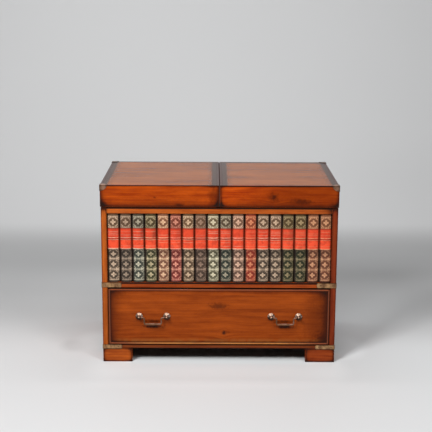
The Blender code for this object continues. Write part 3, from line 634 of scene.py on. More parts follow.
def waxed_wood(board, light, dark, looks):
    """Grain, knots, stain at the edges, painted shade underneath, in strips and in shadows, and a polished
    coat.
    """
    material, g, shader = new_material(board.node + "_wood")
    light, dark = [[part * share for part, share in zip(tint, board.shade)] for tint in (light, dark)]
    place, facing = g.coordinates()
    _, forward, upward = g.split(facing)
    stain = looks.colours.stain
    axes = g.split(place)
    across, _, level = axes
    marks = []
    for centre, size, amount in board.knots:
        knot = g.effect("knot", Place=place, Centre=centre, Size=size)
        axes[2] = axes[2] + knot["Swing"]
        marks.append(knot["Mask"] * amount)
    lie = g.vector(*[axes[axis] for axis in LIES[board.lie]])
    if board.border:
        border = lid_border(g, board, place, facing, looks)
        marks = [border[name] * amount for name, amount in BORDER_STRENGTHS.items()] + marks
    if board.border == "frame":
        crosswise = g.vector(*[axes[axis] for axis in LIES["Y"]])
        inputs = {0: border["Sideways"], 4: lie, 5: crosswise}
        lie = g.wire(g.node("ShaderNodeMix", inputs, data_type="VECTOR"), 1)
    grain = g.effect(
        "wood_grain", Place=lie, Seed=seed_of(board.node), Sway=board.sway, Blotched=board.blotched,
        Light=light, Dark=dark,
    )
    # Faces that look down are darkened towards the stain: painted shade under the boards
    surface = g.mix(g.ramp(upward, -0.5, -0.9) * board.underside, grain["Colour"], stain)
    for mark in marks:
        surface = g.mix(mark, surface, stain)
    # Smudges, and the painted shadows round the handles, darkened in
    for centre, size, amount in board.smudges:
        smudge = g.effect("knot", Place=place, Centre=centre, Size=size)["Mask"]
        surface = darken(g, surface, looks, smudge * amount, smudge ** 2.0 * amount ** 2.0)
    # Painted shade across the board, where the light falls off
    if board.fade:
        start, end, amount = board.fade
        surface = g.mix(g.ramp(across, start, end) * amount, surface, looks.colours.burn)
    if board.dust:
        dusty = g.ramp(level, board.low.z + 0.024, board.low.z + 0.008)
        dusty = dusty * g.ramp(g.noise(place, scale=40.0, detail=3.0), 0.30, 0.60)
        surface = g.mix(dusty * board.dust, surface, looks.colours.dust)
    shading = g.effect(
        "edge_shading", Place=place, Facing=facing, Low=board.low, High=board.high,
        Reach_Low=board.reach_low, Reach_High=board.reach_high,
        Line=board.line, Wobble=board.wobble, Gathered=board.gathered,
    )
    shade, edge = shading["Shade"], shading["Edge"]
    surface = darken(g, surface, looks, shade * board.depth, shade ** 2.5 * board.depth)
    surface = darken(g, surface, looks, edge * board.edge_depth, edge ** 2.0 * (board.edge_depth * 0.8))
    on_front = g.ramp(forward, -0.4, -0.8)
    # Dark strips along the front: stain on the lids, painted shade under the lids, books and drawer bead on
    # the case
    for bottom, top, amount in board.strips:
        strip = g.ramp(level, bottom - STRIP_BLUR, bottom) * g.ramp(level, top + STRIP_BLUR, top) * on_front
        surface = darken(g, surface, looks, strip * amount, strip * amount ** 2.0)
    roughness = grain["Tone"] * -0.12 + board.roughness
    finish(g, shader, surface, roughness, {**WAX, "Coat Weight": board.coat}, (grain["Height"], 0.00012, 0.6))
    material.diffuse_color = (*light, 1.0)
    return material


def aged_brass(name, looks, metal, seed, amount=0.40, roughness=0.30, box=None, reach=None, dulled_and_shaded=False):
    """Brass with patches of tarnish. A plate that is given its box darkens towards its edges.

    A post may have a head that hands have dulled, beyond the collar, and painted shade darkening the lower
    half of the post."""
    material, g, shader = new_material(name)
    place, facing = g.coordinates()
    tarnish = g.effect("brass_tarnish", Place=place, Facing=facing, Seed=seed, Amount=amount)
    surface = g.mix(tarnish["Mask"], metal, looks.colours.tarnish)
    if box:
        shading = g.effect(
            "edge_shading", Place=place, Facing=facing, Low=box[0], High=box[1],
            Reach_Low=reach, Reach_High=reach, Line=0.0022, Wobble=1.2,
        )
        surface = g.mix(g.larger(shading["Shade"] * 0.7, shading["Edge"] * 0.8), surface, looks.colours.stain)
    if dulled_and_shaded:
        _, out, up = g.split(place)
        head = g.ramp(out, -COLLAR_END, -COLLAR_END - 0.0012)
        surface = g.mix(head * 0.72, surface, looks.colours.tarnish)
        # Painted shade: the lower half of the post goes towards the stain
        surface = g.mix(g.ramp(up, 0.0036, -0.0030) * 0.88, surface, looks.colours.stain)
    roughness = tarnish["Mask"] * 0.22 + roughness
    finish(g, shader, surface, roughness, {"Metallic": 1.0}, (tarnish["Dent"], 0.00015, 0.5))
    material.diffuse_color = (*looks.colours.brass, 1.0)
    return material


# Leathers: their ground, their gilding, how much of the ground is gilt, and the record's slot
LEATHERS = {
    "umber": ((0.075, 0.050, 0.034), (0.72, 0.52, 0.36), 0.50, "leather_umber"),
    "dark umber": ((0.050, 0.036, 0.028), (0.52, 0.38, 0.27), 0.40, "leather_umber"),
    "brown": ((0.095, 0.056, 0.038), (0.36, 0.24, 0.17), 0.50, "leather_umber"),
    "teal": ((0.028, 0.044, 0.036), (0.66, 0.60, 0.44), 0.45, "leather_green"),
    "olive": ((0.044, 0.050, 0.018), (0.66, 0.54, 0.32), 0.45, "leather_green"),
    "sage": ((0.110, 0.098, 0.052), (0.80, 0.72, 0.50), 0.75, "leather_green"),
    "pine": ((0.018, 0.035, 0.028), (0.56, 0.48, 0.34), 0.35, "leather_green"),
    "moss": ((0.024, 0.034, 0.014), (0.42, 0.32, 0.17), 0.35, "leather_green"),
    "rose": ((0.260, 0.092, 0.052), (0.94, 0.56, 0.34), 0.65, "leather_tan"),
    "tan": ((0.110, 0.060, 0.030), (0.76, 0.54, 0.35), 0.65, "leather_tan"),
    "fawn": ((0.180, 0.092, 0.062), (0.86, 0.54, 0.38), 0.65, "leather_tan"),
    "oxblood": ((0.220, 0.020, 0.018), (0.90, 0.36, 0.25), 0.38, "leather_red"),
    "scarlet": ((0.380, 0.036, 0.020), (0.76, 0.28, 0.14), 0.48, "leather_red"),
    "russet": ((0.190, 0.056, 0.030), (0.68, 0.34, 0.18), 0.48, "leather_red"),
}
# Each book from the left: its leather, how dark its upper part is, and how dark it is below its labels
BOOKS = (
    ("umber", 0.0, 0.04), ("dark umber", 0.0, 0.20), ("teal", 0.40, 0.04), ("olive", 0.42, 0.12),
    ("rose", 0.0, 0.04), ("oxblood", 0.20, 0.04), ("tan", 0.0, 0.10), ("brown", 0.0, 0.08),
    ("sage", 0.0, 0.04), ("pine", 0.12, 0.22), ("fawn", 0.0, 0.04), ("scarlet", 0.0, 0.08),
    ("umber", 0.0, 0.12), ("umber", 0.0, 0.20), ("moss", 0.20, 0.22), ("moss", 0.0, 0.30),
    ("russet", 0.0, 0.04), ("russet", 0.0, 0.04),
)
# A warm tint mixed into the leather just above the labels
WARM_TINT = (0.42, 0.17, 0.05)


def tooled_leather(name, leather, half_width, looks, seed, aged, darkened):
    """A calf spine with gilt tooling, two red labels and plain rules."""
    ground, gilding, cover, _ = LEATHERS[leather]
    deep = [part * 0.3 for part in ground]
    bright = [min(part * 1.08, 0.94) for part in gilding]
    material, g, shader = new_material(name)
    place, _ = g.coordinates()
    x, _, z = g.split(place)
    hide = g.effect("worn_leather", Place=place, Seed=seed)
    tooling = g.effect("spine_tooling", Place=place, Seed=seed, Half_Width=half_width)
    mottle, rubbed = hide["Mottle"], hide["Rubbed"]
    gilt, label, outline = tooling["Gilding"], tooling["Label"], tooling["Outline"]
    surface = g.mix(mottle * 0.6, ground, deep)
    surface = g.mix(tooling["Speck"] * (cover * 0.92) * (1.0 - outline), surface, gilding)
    upper = g.ramp(z, BAND_LEVELS[3], BAND_LEVELS[3] + 0.002)
    worn = g.ramp(mottle + rubbed * 0.4, 0.2, 1.3)
    title = g.mix(worn * 0.70, looks.colours.label, looks.colours.old_label)
    title = g.mix(upper * 0.35, title, looks.colours.old_label)
    surface = g.mix(label, surface, title)
    surface = g.mix(outline * (0.9 - rubbed * 0.4), surface, deep)
    surface = g.mix(gilt * (1.0 - rubbed * 0.5), surface, bright)
    surface = g.mix(g.ramp(z, LABEL_TOP - 0.002, LABEL_TOP + 0.004) * 0.16, surface, WARM_TINT)
    # The top panel is darker all across, and the right side from the upper label up is painted shade on the
    # spine's round
    if aged:
        above = g.ramp(z, LABEL_TOP, LABEL_TOP + 0.002) + g.ramp(x / half_width, -0.2, 0.7) * upper
        surface = g.mix(g.smaller(above, 1.0) * g.ramp(mottle, -0.6, 0.6) * aged, surface, deep)
    # Painted light: the gilding brightens towards the head
    surface = g.mix(g.ramp(z, *HEAD_PAINTED_LIGHT) * gilt * 0.35, surface, gilding)
    shaded = g.ramp(z, PANELS[2][0] - 0.004, PANELS[2][1]) * 0.38 + darkened
    surface = g.mix(shaded * g.ramp(z, LABEL_BASE, LABEL_BASE - 0.001), surface, deep)
    # Painted shade at the spine's sides, foot and head, through the label's red where it crosses a label
    joint = g.mix(label, looks.colours.stain, looks.colours.burn)
    surface = g.mix(tooling["Painted Shade"] * (0.95 - label * 0.22), surface, joint)
    roughness = 0.52 - gilt * 0.14 + rubbed * 0.08
    finish(g, shader, surface, roughness, CALF, (hide["Pebble"] * -0.5 - gilt * 0.6, 0.0004, 0.8))
    material.diffuse_color = (*ground, 1.0)
    return material


# Meshes

SHARP_ANGLE = radians(38)
# Points closer than this become one
WELD = 0.000001


def new_piece(name, mesh):
    """An object of the scene with a mesh of its own."""
    piece = bpy.data.objects.new(name, mesh)
    bpy.context.scene.collection.objects.link(piece)
    return piece


def mesh_of(name, shape):
    """Turns a bmesh into a smooth mesh with its faces pointing out."""
    bmesh.ops.recalc_face_normals(shape, faces=shape.faces)
    mesh = bpy.data.meshes.new(name)
    shape.to_mesh(mesh)
    shape.free()
    mesh.shade_smooth()
    mesh.set_sharp_from_angle(angle=SHARP_ANGLE)
    return mesh


def loft(shape, rings, round_and_back=False):
    """Skins a row of rings of points, each closed on itself, with flat ends or round to the first ring."""
    rows = [[shape.verts.new(point) for point in ring] for ring in rings]
    count = len(rows[0])
    following_rows = rows[1:] + rows[:1] if round_and_back else rows[1:]
    for lower, upper in zip(rows, following_rows):
        for index in range(count):
            following = (index + 1) % count
            shape.faces.new((lower[index], lower[following], upper[following], upper[index]))
    if not round_and_back:
        shape.faces.new(rows[0])
        shape.faces.new(rows[-1])


def turned_mesh(name, profile, steps):
    """A profile of (radius, distance) turned about the line that stands out towards -Y."""
    turns = [(cos(2 * pi * step / steps), sin(2 * pi * step / steps)) for step in range(steps)]
    shape = bmesh.new()
    loft(shape, [[(radius * x, -stand, radius * z) for x, z in turns] for radius, stand in profile])
    bmesh.ops.remove_doubles(shape, verts=shape.verts, dist=WELD)
    return mesh_of(name, shape)


# Book spines

# How much narrower a spine is than its place at each side, and how thick its block is
BOOK_SIDE_TUCK = 0.0003
SPINE_THICKNESS = 0.020
# Facets round a spine, and levels up its plain stretches, each band and each cap
SPINE_STEPS = 28
PLAIN_STEPS = 60
BAND_STEPS = 8
CAP_STEPS = 6
LEAST_STEP = 0.00015
# How a spine's ends turn in, and the hollow below each cap
END_ROUNDING = 0.0016
CAP_HOLLOW = 0.00035


def spine_section(half, crown, stand):
    """A book's back in plan: flat behind, straight sides, a round front."""
    half = half + stand * 0.4
    shoulder = crown - SPINE_THICKNESS
    side = [(half, 0.0), (half, shoulder * 0.5), (half, shoulder)]
    front = []
    for step in range(1, SPINE_STEPS):
        angle = pi * step / SPINE_STEPS
        front.append((half * cos(angle), shoulder - (crown + stand) * sin(angle)))
    return side + front + [(-x, y) for x, y in reversed(side)]


def spine_levels(height, sizes):
    """Heights up a spine, closer where it swells at a band or turns in at an end."""
    levels = {height * step / PLAIN_STEPS for step in range(PLAIN_STEPS + 1)}
    for level in BAND_LEVELS:
        for step in range(BAND_STEPS + 1):
            levels.add(level + sizes.band_height * (step / BAND_STEPS - 0.5) * 1.3)
    for step in range(CAP_STEPS + 1):
        levels |= {sizes.cap_height * step / CAP_STEPS, height - sizes.cap_height * step / CAP_STEPS}
    kept = []
    for level in sorted(levels):
        if not kept or level - kept[-1] > LEAST_STEP:
            kept.append(level)
    kept[-1] = height
    return kept


def spine_swell(level, height, sizes):
    """How far the leather stands out at a height: bands swell, head and tail turn in."""
    swell = 0.0
    for band in BAND_LEVELS:
        away = abs(level - band) / (sizes.band_height * 0.62)
        if away < 1.0:
            swell = sizes.band_stand * (1.0 - away ** 2.6)
    end = min(level, height - level)
    if end < END_ROUNDING:
        swell -= END_ROUNDING - sqrt(max(0.0, END_ROUNDING ** 2 - (END_ROUNDING - end) ** 2))
    elif end < sizes.cap_height:
        swell -= CAP_HOLLOW * sin(pi * (end - END_ROUNDING) / (sizes.cap_height - END_ROUNDING))
    return swell


def spine_mesh(name, half, height, sizes):
    """One spine, with its raised bands and caps, on its foot."""
    shape = bmesh.new()
    rings = []
    for level in spine_levels(height, sizes):
        section = spine_section(half, sizes.spine_crown, spine_swell(level, height, sizes))
        rings.append([(x, y, level) for x, y in section])
    loft(shape, rings)
    return mesh_of(name, shape)


class CABINET_OT_book_spines(bpy.types.Operator):
    """Make the eighteen tooled leather spines"""
    bl_idname = "cabinet.book_spines"
    bl_label = "Book Spines"

    def execute(self, context):
        looks = context.scene.cabinet_looks
        low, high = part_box("book_spine_01")
        half = (high.x - low.x) / 2 - BOOK_SIDE_TUCK
        mesh = spine_mesh("tooled_spine", half, high.z - low.z, looks.sizes)
        for number, (leather, aged, darkened) in enumerate(BOOKS, 1):
            node = "book_spine_" + str(number).zfill(2)
            low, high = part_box(node)
            spine = new_piece("tooled_spine_" + str(number).zfill(2), mesh.copy())
            spine.location = ((low.x + high.x) / 2, high.y, low.z)
            seed = number * BOOK_SEED_STEP
            hide = tooled_leather(node + "_leather", leather, half, looks, seed, aged, darkened)
            spine.data.materials.append(hide)
            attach(spine, "carcass")
            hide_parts(node)
        bpy.data.meshes.remove(mesh)
        return {"FINISHED"}


# Wood of the case

# How deep into the wood a mark goes
MARK_DEPTH = 0.04
# The lip below the top rail: its drop, its thickness, and how far up behind the rail's face it laps
RAIL_LIP_HEIGHT = 0.0028
RAIL_LIP_DEPTH = 0.0012
RAIL_LIP_LAP = 0.0008
# Dark marks on the case's stiles, as (height, width, tallness, amount)
STILE_MARKS = {
    "left": ((0.5435, 0.016, 0.016, 0.80), (0.1500, 0.090, 0.160, 0.17)),
    "right": ((0.5435, 0.018, 0.018, 0.80),),
}


def front_marks(front, rows):
    """Marks on a front face, from rows of (across, height, width, tallness, amount)."""
    marks = []
    for across, level, wide, tall, amount in rows:
        marks.append(((across, front, level), (wide, MARK_DEPTH, tall), amount))
    return marks


def stile_marks(hand):
    """Marks on the front edge of the case's left or right side."""
    low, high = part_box("side_" + hand)
    return front_marks(CASE_FRONT, [((low.x + high.x) / 2, *row) for row in STILE_MARKS[hand]])


def rail_lip_mesh():
    """A thin lipping that hangs below the top rail's front, with its lower edge rounded over."""
    low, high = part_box("top_rail")
    radius = RAIL_LIP_DEPTH / 2
    middle = low.z - RAIL_LIP_HEIGHT + radius
    steps = 8
    section = [(low.y, low.z + RAIL_LIP_LAP)]
    for step in range(steps + 1):
        angle = pi + pi * step / steps
        section.append((low.y + radius + radius * cos(angle), middle + radius * sin(angle)))
    section.append((low.y + RAIL_LIP_DEPTH, low.z + RAIL_LIP_LAP))
    shape = bmesh.new()
    loft(shape, [[(x, y, z) for y, z in section] for x in (low.x, high.x)])
    return mesh_of("rail_lip", shape)


class CABINET_OT_case_wood(bpy.types.Operator):
    """Finish the case, its rails, panels and feet"""
    bl_idname = "cabinet.case_wood"
    bl_label = "Case Wood"

    def execute(self, context):
        looks = context.scene.cabinet_looks
        light, dark = looks.colours.case_light, looks.colours.case_dark
        for board in self.front_boards() + self.feet():
            dress(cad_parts[board.node], waxed_wood(board, light, dark, looks))
        lip = new_piece("rail_lip", rail_lip_mesh())
        lip.data.materials.append(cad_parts["top_rail"].data.materials[0])
        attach(lip, "carcass")
        for node in ("back_panel", "book_backing_panel"):
            board = Board(node, coat=0.3, roughness=0.61)
            dress(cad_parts[node], waxed_wood(board, dark, [part * 0.45 for part in dark], looks))
        return {"FINISHED"}

    def front_boards(self):
        """The boards that show at the front, each with its own stain and tint, and painted shade where the
        light falls off to the right.
        """
        lip_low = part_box("top_rail")[0].copy()
        lip_low.z -= RAIL_LIP_HEIGHT
        return [
            Board(
                "side_left", "Z", reach_low=(0.007, 0.006, 0.012), reach_high=(0.006, 0.006, 0.016),
                shade=(1.10, 1.16, 1.15), smudges=stile_marks("left"),
            ),
            # Its dark tint is painted shade, where the light falls off to the right
            Board(
                "side_right", "Z", reach_low=(0.007, 0.006, 0.012), reach_high=(0.008, 0.006, 0.016),
                shade=(0.50, 0.35, 0.70), smudges=stile_marks("right"),
            ),
            # Its long reach at the right end is painted shade where the light falls off; its dark strip at
            # the top is painted shade below the drawer's bead
            Board(
                "bottom_board", reach_low=(0.02, 0.006, 0.006), reach_high=(0.06, 0.006, 0.005),
                shade=(0.48, 0.50, 0.90), strips=[(0.0600, 0.0630, 0.8)],
            ),
            # Its long reach at the right end is painted shade where the light falls off; its dark strip at
            # the top is painted shade under the books
            Board(
                "divider_board", reach_low=(0.02, 0.006, 0.0015), reach_high=(0.05, 0.006, 0.003),
                line=0.0012, shade=(0.88, 0.76, 0.95), strips=[(0.2787, 0.2840, 0.95)],
            ),
            # Its long reach at the right end is painted shade where the light falls off; its dark strip at
            # the top is the painted shadow of the lids
            Board(
                "top_rail", low=lip_low, reach_low=(0.006, 0.006, 0.0008), reach_high=(0.050, 0.006, 0.006),
                line=0.0006, edge_depth=0.3, shade=(1.09, 1.12, 1.25), strips=[(0.5396, 0.5440, 0.95)],
            ),
        ]

    def feet(self):
        """The four feet, darker on the right as painted shade where the light falls off; their wide dark edge
        line is stain, and along the bottom painted shade where they meet the floor.
        """
        tint_and_shade = {"left": (1.05, 1.02, 1.05), "right": (0.76, 0.62, 0.90)}
        return [
            Board(
                "foot_" + end + "_" + hand, reach_low=(0.016, 0.010, 0.010), shade=tint_and_shade[hand],
                line=0.0075, depth=0.9, edge_depth=0.95,
            )
            for end in ("front", "back") for hand in tint_and_shade
        ]


# Lids

# What each lid's frame has of its own, with marks as (across, height, width, tallness, amount)
LID_LOOKS = {
    "left": {
        "reach_low": (0.026, 0.012, 0.029), "reach_high": (0.019, 0.012, 0.007),
        "shade": (0.95, 0.87, 0.9), "strips": [(0.6174, 0.6210, 0.85)],
        "smudges": front_marks(LID_FRONT, (
            (-0.1351, 0.5530, 0.026, 0.008, 0.70), (-0.2171, 0.5780, 0.006, 0.005, 0.50),
            (-0.4011, 0.5440, 0.034, 0.040, 1.00), (-0.0248, 0.6200, 0.045, 0.010, 0.90),
            (-0.0027, 0.5455, 0.013, 0.026, 1.00), (-0.0080, 0.5860, 0.046, 0.055, 0.42),
            (-0.1987, 0.5640, 0.280, 0.022, 0.22),
        )),
    },
    # The right lid is tinted lighter near the joint and darkens towards its right end: painted shade where
    # the light falls off to the right
    "right": {
        "reach_low": (0.019, 0.012, 0.026), "reach_high": (0.018, 0.012, 0.007),
        "shade": (1.24, 1.12, 1.0), "strips": [(0.6160, 0.6210, 0.85)], "fade": (0.02, 0.26, 0.58),
        "knots": front_marks(LID_FRONT, ((0.1813, 0.5806, 0.011, 0.012, 0.85),)),
        "smudges": front_marks(LID_FRONT, (
            (0.1803, 0.5806, 0.030, 0.026, 0.45), (0.2746, 0.5655, 0.054, 0.015, 0.70),
            (0.4017, 0.5440, 0.028, 0.022, 1.00), (0.0087, 0.6200, 0.024, 0.008, 0.90),
            (0.0013, 0.5455, 0.010, 0.022, 1.00), (0.2763, 0.6200, 0.120, 0.008, 0.60),
            (0.1191, 0.5640, 0.200, 0.030, 0.18),
        )),
    },
}
# How much narrower the border is at each edge of a lid's top, as (low corner, high corner)
BORDER_NARROW = {
    "left": ((1.10, 26.0, 1.0), (1.04, 1.7, 1.0)),
    "right": ((1.04, 26.0, 1.0), (1.10, 1.1, 1.0)),
}


class CABINET_OT_lid_wood(bpy.types.Operator):
    """Finish the two lids, with dark borders on top"""
    bl_idname = "cabinet.lid_wood"
    bl_label = "Lid Wood"

    def execute(self, context):
        looks = context.scene.cabinet_looks
        colours = looks.colours
        for hand, narrow in BORDER_NARROW.items():
            frame_board = Board(
                "lid_" + hand + "_frame", line=0.0052, depth=0.92, edge_depth=0.92, wobble=0.9, gathered=0.6,
                border="frame", border_narrow=narrow, **LID_LOOKS[hand],
            )
            top_board = Board(
                "lid_" + hand + "_top", low=frame_board.low, high=frame_board.high, line=0.001, depth=0.2,
                edge_depth=0.2, reach_low=(0.01, 0.01, 0.001), border="panel", border_narrow=narrow,
            )
            wood = waxed_wood(frame_board, colours.lid_light, colours.lid_dark, looks)
            dress(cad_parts[frame_board.node], wood)
            wood = waxed_wood(top_board, colours.top_light, colours.top_dark, looks)
            dress(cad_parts[top_board.node], wood)
        return {"FINISHED"}


# The felt's distance from the joint's edges, its glue, and its gap to the right lid
FELT_INSET = 0.002
FELT_GLUE = 0.00005
FELT_CLEARANCE = 0.0003


# The felt fills the joint between the lids with dark grey, standing in for the shade in the gap
def felt_mesh():
    """A strip on edge between the lids, rounded along its top and foot and at its ends."""
    low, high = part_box("lid_left_frame")
    near = high.x + FELT_GLUE
    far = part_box("lid_right_frame")[0].x - FELT_CLEARANCE
    middle = (near + far) / 2
    rounding = (far - near) / 2
    ends = (low.y + FELT_INSET, high.y - FELT_INSET)
    steps = 6
    rings = []
    for y in (ends[0], ends[0] + rounding, ends[1] - rounding, ends[1]):
        inset = rounding if y in ends else 0.0
        top = high.z - FELT_INSET - rounding - inset
        foot = low.z + FELT_INSET + rounding + inset
        ring = []
        for centre, start in ((top, 0.0), (foot, pi)):
            for step in range(steps + 1):
                angle = start + pi * step / steps
                ring.append((middle + rounding * cos(angle), y, centre + rounding * sin(angle)))
        rings.append(ring)
    shape = bmesh.new()
    loft(shape, rings)
    return mesh_of("lid_joint_felt", shape)


def felt_cloth(looks):
    """Matted fibres, dark grey."""
    material, g, shader = new_material("joint_felt")
    place, _ = g.coordinates()
    fibre = g.noise(place, scale=900.0, detail=4.0, roughness=0.7)
    surface = g.mix(fibre, looks.colours.stain, looks.colours.felt)
    finish(g, shader, surface, fibre * 0.1 + 0.88, {"Specular IOR Level": 0.0}, (fibre, 0.0003, 0.8))
    return material


class CABINET_OT_joint_felt(bpy.types.Operator):
    """Lay a dark felt strip in the joint between the lids, standing in for the shade in the gap"""
    bl_idname = "cabinet.joint_felt"
    bl_label = "Joint Felt"

    def execute(self, context):
        felt = new_piece("lid_joint_felt", felt_mesh())
        felt.data.materials.append(felt_cloth(context.scene.cabinet_looks))
        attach(felt, "lid_left")
        return {"FINISHED"}


# Drawer

# Distance between a handle's posts, and from the drawer's middle to each handle's
POST_SPACING = 0.094
HANDLE_ACROSS = 0.2255
# Marks on the drawer's front, and the painted shadows round each handle's bail and posts, placed from the
# handle's middle
DRAWER_MARKS = (
    (-0.0021, 0.2004, 0.052, 0.017, 0.55), (0.0297, 0.1075, 0.016, 0.008, 0.25),
    (-0.3567, 0.2500, 0.060, 0.026, 0.40), (0.3643, 0.2520, 0.050, 0.030, 0.70),
    (0.3712, 0.0780, 0.060, 0.050, 0.90), (0.3678, 0.1500, 0.024, 0.090, 0.50),
    (0.3195, 0.1500, 0.060, 0.110, 0.30),
)
HANDLE_SHADOWS = (
    (0.0, 0.1280, 0.046, 0.0095, 0.92), (0.0, 0.1452, 0.044, 0.0090, 0.66),
    (-POST_SPACING / 2, 0.1580, 0.021, 0.016, 0.62), (POST_SPACING / 2, 0.1580, 0.021, 0.016, 0.62),
)


class CABINET_OT_drawer_wood(bpy.types.Operator):
    """Finish the drawer's front and its inner box"""
    bl_idname = "cabinet.drawer_wood"
    bl_label = "Drawer Wood"

    def execute(self, context):
        looks = context.scene.cabinet_looks
        colours = looks.colours
        rows = list(DRAWER_MARKS)
        for _, side in SIDES:
            rows += [(side * HANDLE_ACROSS + across, *mark) for across, *mark in HANDLE_SHADOWS]
        # Stain at the edges; the long reach at the right end is also painted shade, where the light falls off
        # to the right
        front = Board(
            "drawer_front", reach_low=(0.068, 0.02, 0.018), reach_high=(0.104, 0.02, 0.021), line=0.0150,
            depth=0.92, edge_depth=0.95, wobble=0.7, sway=0.012, blotched=0.20, gathered=0.25, dust=0.55,
            knots=front_marks(DRAWER_LOW.y, [(0.0173, 0.1055, 0.011, 0.011, 0.85)]),
            smudges=front_marks(DRAWER_LOW.y, rows),
        )
        wood = waxed_wood(front, colours.drawer_light, colours.drawer_dark, looks)
        dress(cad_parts["drawer_front"], wood)
        for node in ("drawer_side_left", "drawer_side_right", "drawer_back", "drawer_bottom", "bottle_rack"):
            lie = "Y" if "side" in node else "X"
            board = Board(node, lie, coat=0.15, roughness=0.61, depth=0.25, edge_depth=0.35)
            dress(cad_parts[node], waxed_wood(board, colours.inner_light, colours.inner_dark, looks))
        return {"FINISHED"}


BEAD_WIDTH = 0.0065
# How much of the bead's depth lies behind its round nose
BEAD_SQUARE = 0.70
BEAD_WAX = {"Specular IOR Level": 0.1, "Coat Weight": 0.8, "Coat Roughness": 0.16, "Coat IOR": 1.25}


def bead_profile(depth, steps=10):
    """The bead's section as (inward, forward) from its back outer edge: a round nose on a flat back."""
    square = depth * BEAD_SQUARE
    half = BEAD_WIDTH / 2
    points = [(0.0, 0.0), (0.0, square)]
    for step in range(1, steps):
        angle = pi * step / steps
        points.append((half - half * cos(angle), square + (depth - square) * sin(angle)))
    return points + [(BEAD_WIDTH, square), (BEAD_WIDTH, 0.0)]


def bead_mesh(low, high):
    """The bead round the drawer's front, mitred at its corners."""
    corners = ((low.x, low.z, 1, 1), (high.x, low.z, -1, 1), (high.x, high.z, -1, -1), (low.x, high.z, 1, -1))
    section = bead_profile(high.y - low.y)
    shape = bmesh.new()
    rings = [
        [(x + across * inward, high.y - forward, z + up * inward) for inward, forward in section]
        for x, z, across, up in corners
    ]
    loft(shape, rings, round_and_back=True)
    return mesh_of("drawer_bead_moulding", shape)


def bead_wood(looks, nose, depth):
    """Dark on its sides, stain with painted shade in the quirk and the gap, rubbed back to bright wood on the
    nose.
    """
    material, g, shader = new_material("bead_wood")
    place, _ = g.coordinates()
    x, y, z = g.split(place)
    grain = g.effect(
        "wood_grain", Place=g.vector(x + z, y * 3.0, z * 0.2), Seed=4.0, Sway=0.01,
        Light=looks.colours.case_light, Dark=looks.colours.case_dark,
    )
    upright = g.ramp(g.smaller(x - DRAWER_LOW.x, DRAWER_HIGH.x - x), BEAD_WIDTH * 1.5, BEAD_WIDTH)
    rubbed = g.ramp(y, nose + depth * 0.17, nose + depth * 0.03) * (1.0 - upright * 0.35)
    bottom = g.ramp(z, DRAWER_LOW.z + 0.010, DRAWER_LOW.z + 0.006) * g.ramp(abs(x), 0.36, 0.20)
    patchy = g.ramp(g.noise(place, scale=24.0, detail=3.0), 0.30, 0.60) * 0.4 + 0.6
    worn = g.mix(bottom * patchy, looks.colours.bead, looks.colours.rubbed_bead)
    # The bead's sides, in the quirk and the gap, stay at the stain where they are not rubbed: stain with
    # painted shade
    surface = g.mix(rubbed, looks.colours.stain, g.mix(0.35, worn, grain["Colour"]))
    finish(g, shader, surface, 0.42 - rubbed * 0.08, BEAD_WAX, (grain["Height"], 0.0001, 0.5))
    return material


class CABINET_OT_drawer_bead(bpy.types.Operator):
    """Make the round-nosed bead round the drawer's front"""
    bl_idname = "cabinet.drawer_bead"
    bl_label = "Drawer Bead"

    def execute(self, context):
        low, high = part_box("drawer_bead")
        bead = new_piece("drawer_bead_moulding", bead_mesh(low, high))
        bead.data.materials.append(bead_wood(context.scene.cabinet_looks, low.y, high.y - low.y))
        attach(bead, "drawer")
        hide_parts("drawer_bead")
        return {"FINISHED"}


# Brass plates

# A screw's head: facets, height of its rim and dome, how far it is let in, and half its slot's width
SCREW_STEPS = 20
SCREW_RIM = 0.0001
SCREW_DOME = 0.00035
SCREW_SINK = 0.0003
SLOT_SHARE = 0.16
# How far from its corner each screw of a strap's leg stands
STRAP_SCREW_REACHES = (0.013, 0.054)
# The hinges' level, the space between their leaves, and the screws in each leaf
HINGE_LEVEL = 0.5445
LEAF_SPACING = 0.0004
LEAF_SCREW_INSET = 0.0105
LEAF_SCREW_RADIUS = 0.0018
LEAF_SCREW_COUNT = 7
# How far in the tarnish at a plate's edges reaches
CORNER_REACH = (0.0075, 0.004, 0.0065)
STRAP_REACH = (0.0040, 0.004, 0.0026)


def screw_mesh(name, radius, spots):
    """Slotted screw heads, low domes, at places given as (centre, outward, slot angle)."""
    shape = bmesh.new()
    slot_half = radius * SLOT_SHARE
    levels = ((1.0, -SCREW_SINK), (1.0, SCREW_RIM), (0.86, SCREW_DOME * 0.7), (0.45, SCREW_DOME))
    angles = [2 * pi * step / SCREW_STEPS for step in range(SCREW_STEPS // 2 + 1)]
    for centre, outward, slot_angle in spots:
        turn = outward.to_track_quat("Z", "Y").to_matrix() @ Matrix.Rotation(slot_angle, 3, "Z")
        for half in (-1, 1):
            # Each half of the head lies on its own side of the slot
            rings = []
            for scale, level in levels:
                ring = []
                for angle in angles:
                    side = slot_half + (max(slot_half, radius * sin(angle)) - slot_half) * scale
                    ring.append(centre + turn @ Vector((radius * cos(angle) * scale, side * half, level)))
                rings.append(ring)
            loft(shape, rings)
    bmesh.ops.remove_doubles(shape, verts=shape.verts, dist=WELD)
    return mesh_of(name, shape)


def add_screws(name, body, spots, material, radius):
    """The screws of one plate, as one piece."""
    piece = new_piece(name, screw_mesh(name, radius, spots))
    piece.data.materials.append(material)
    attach(piece, body)


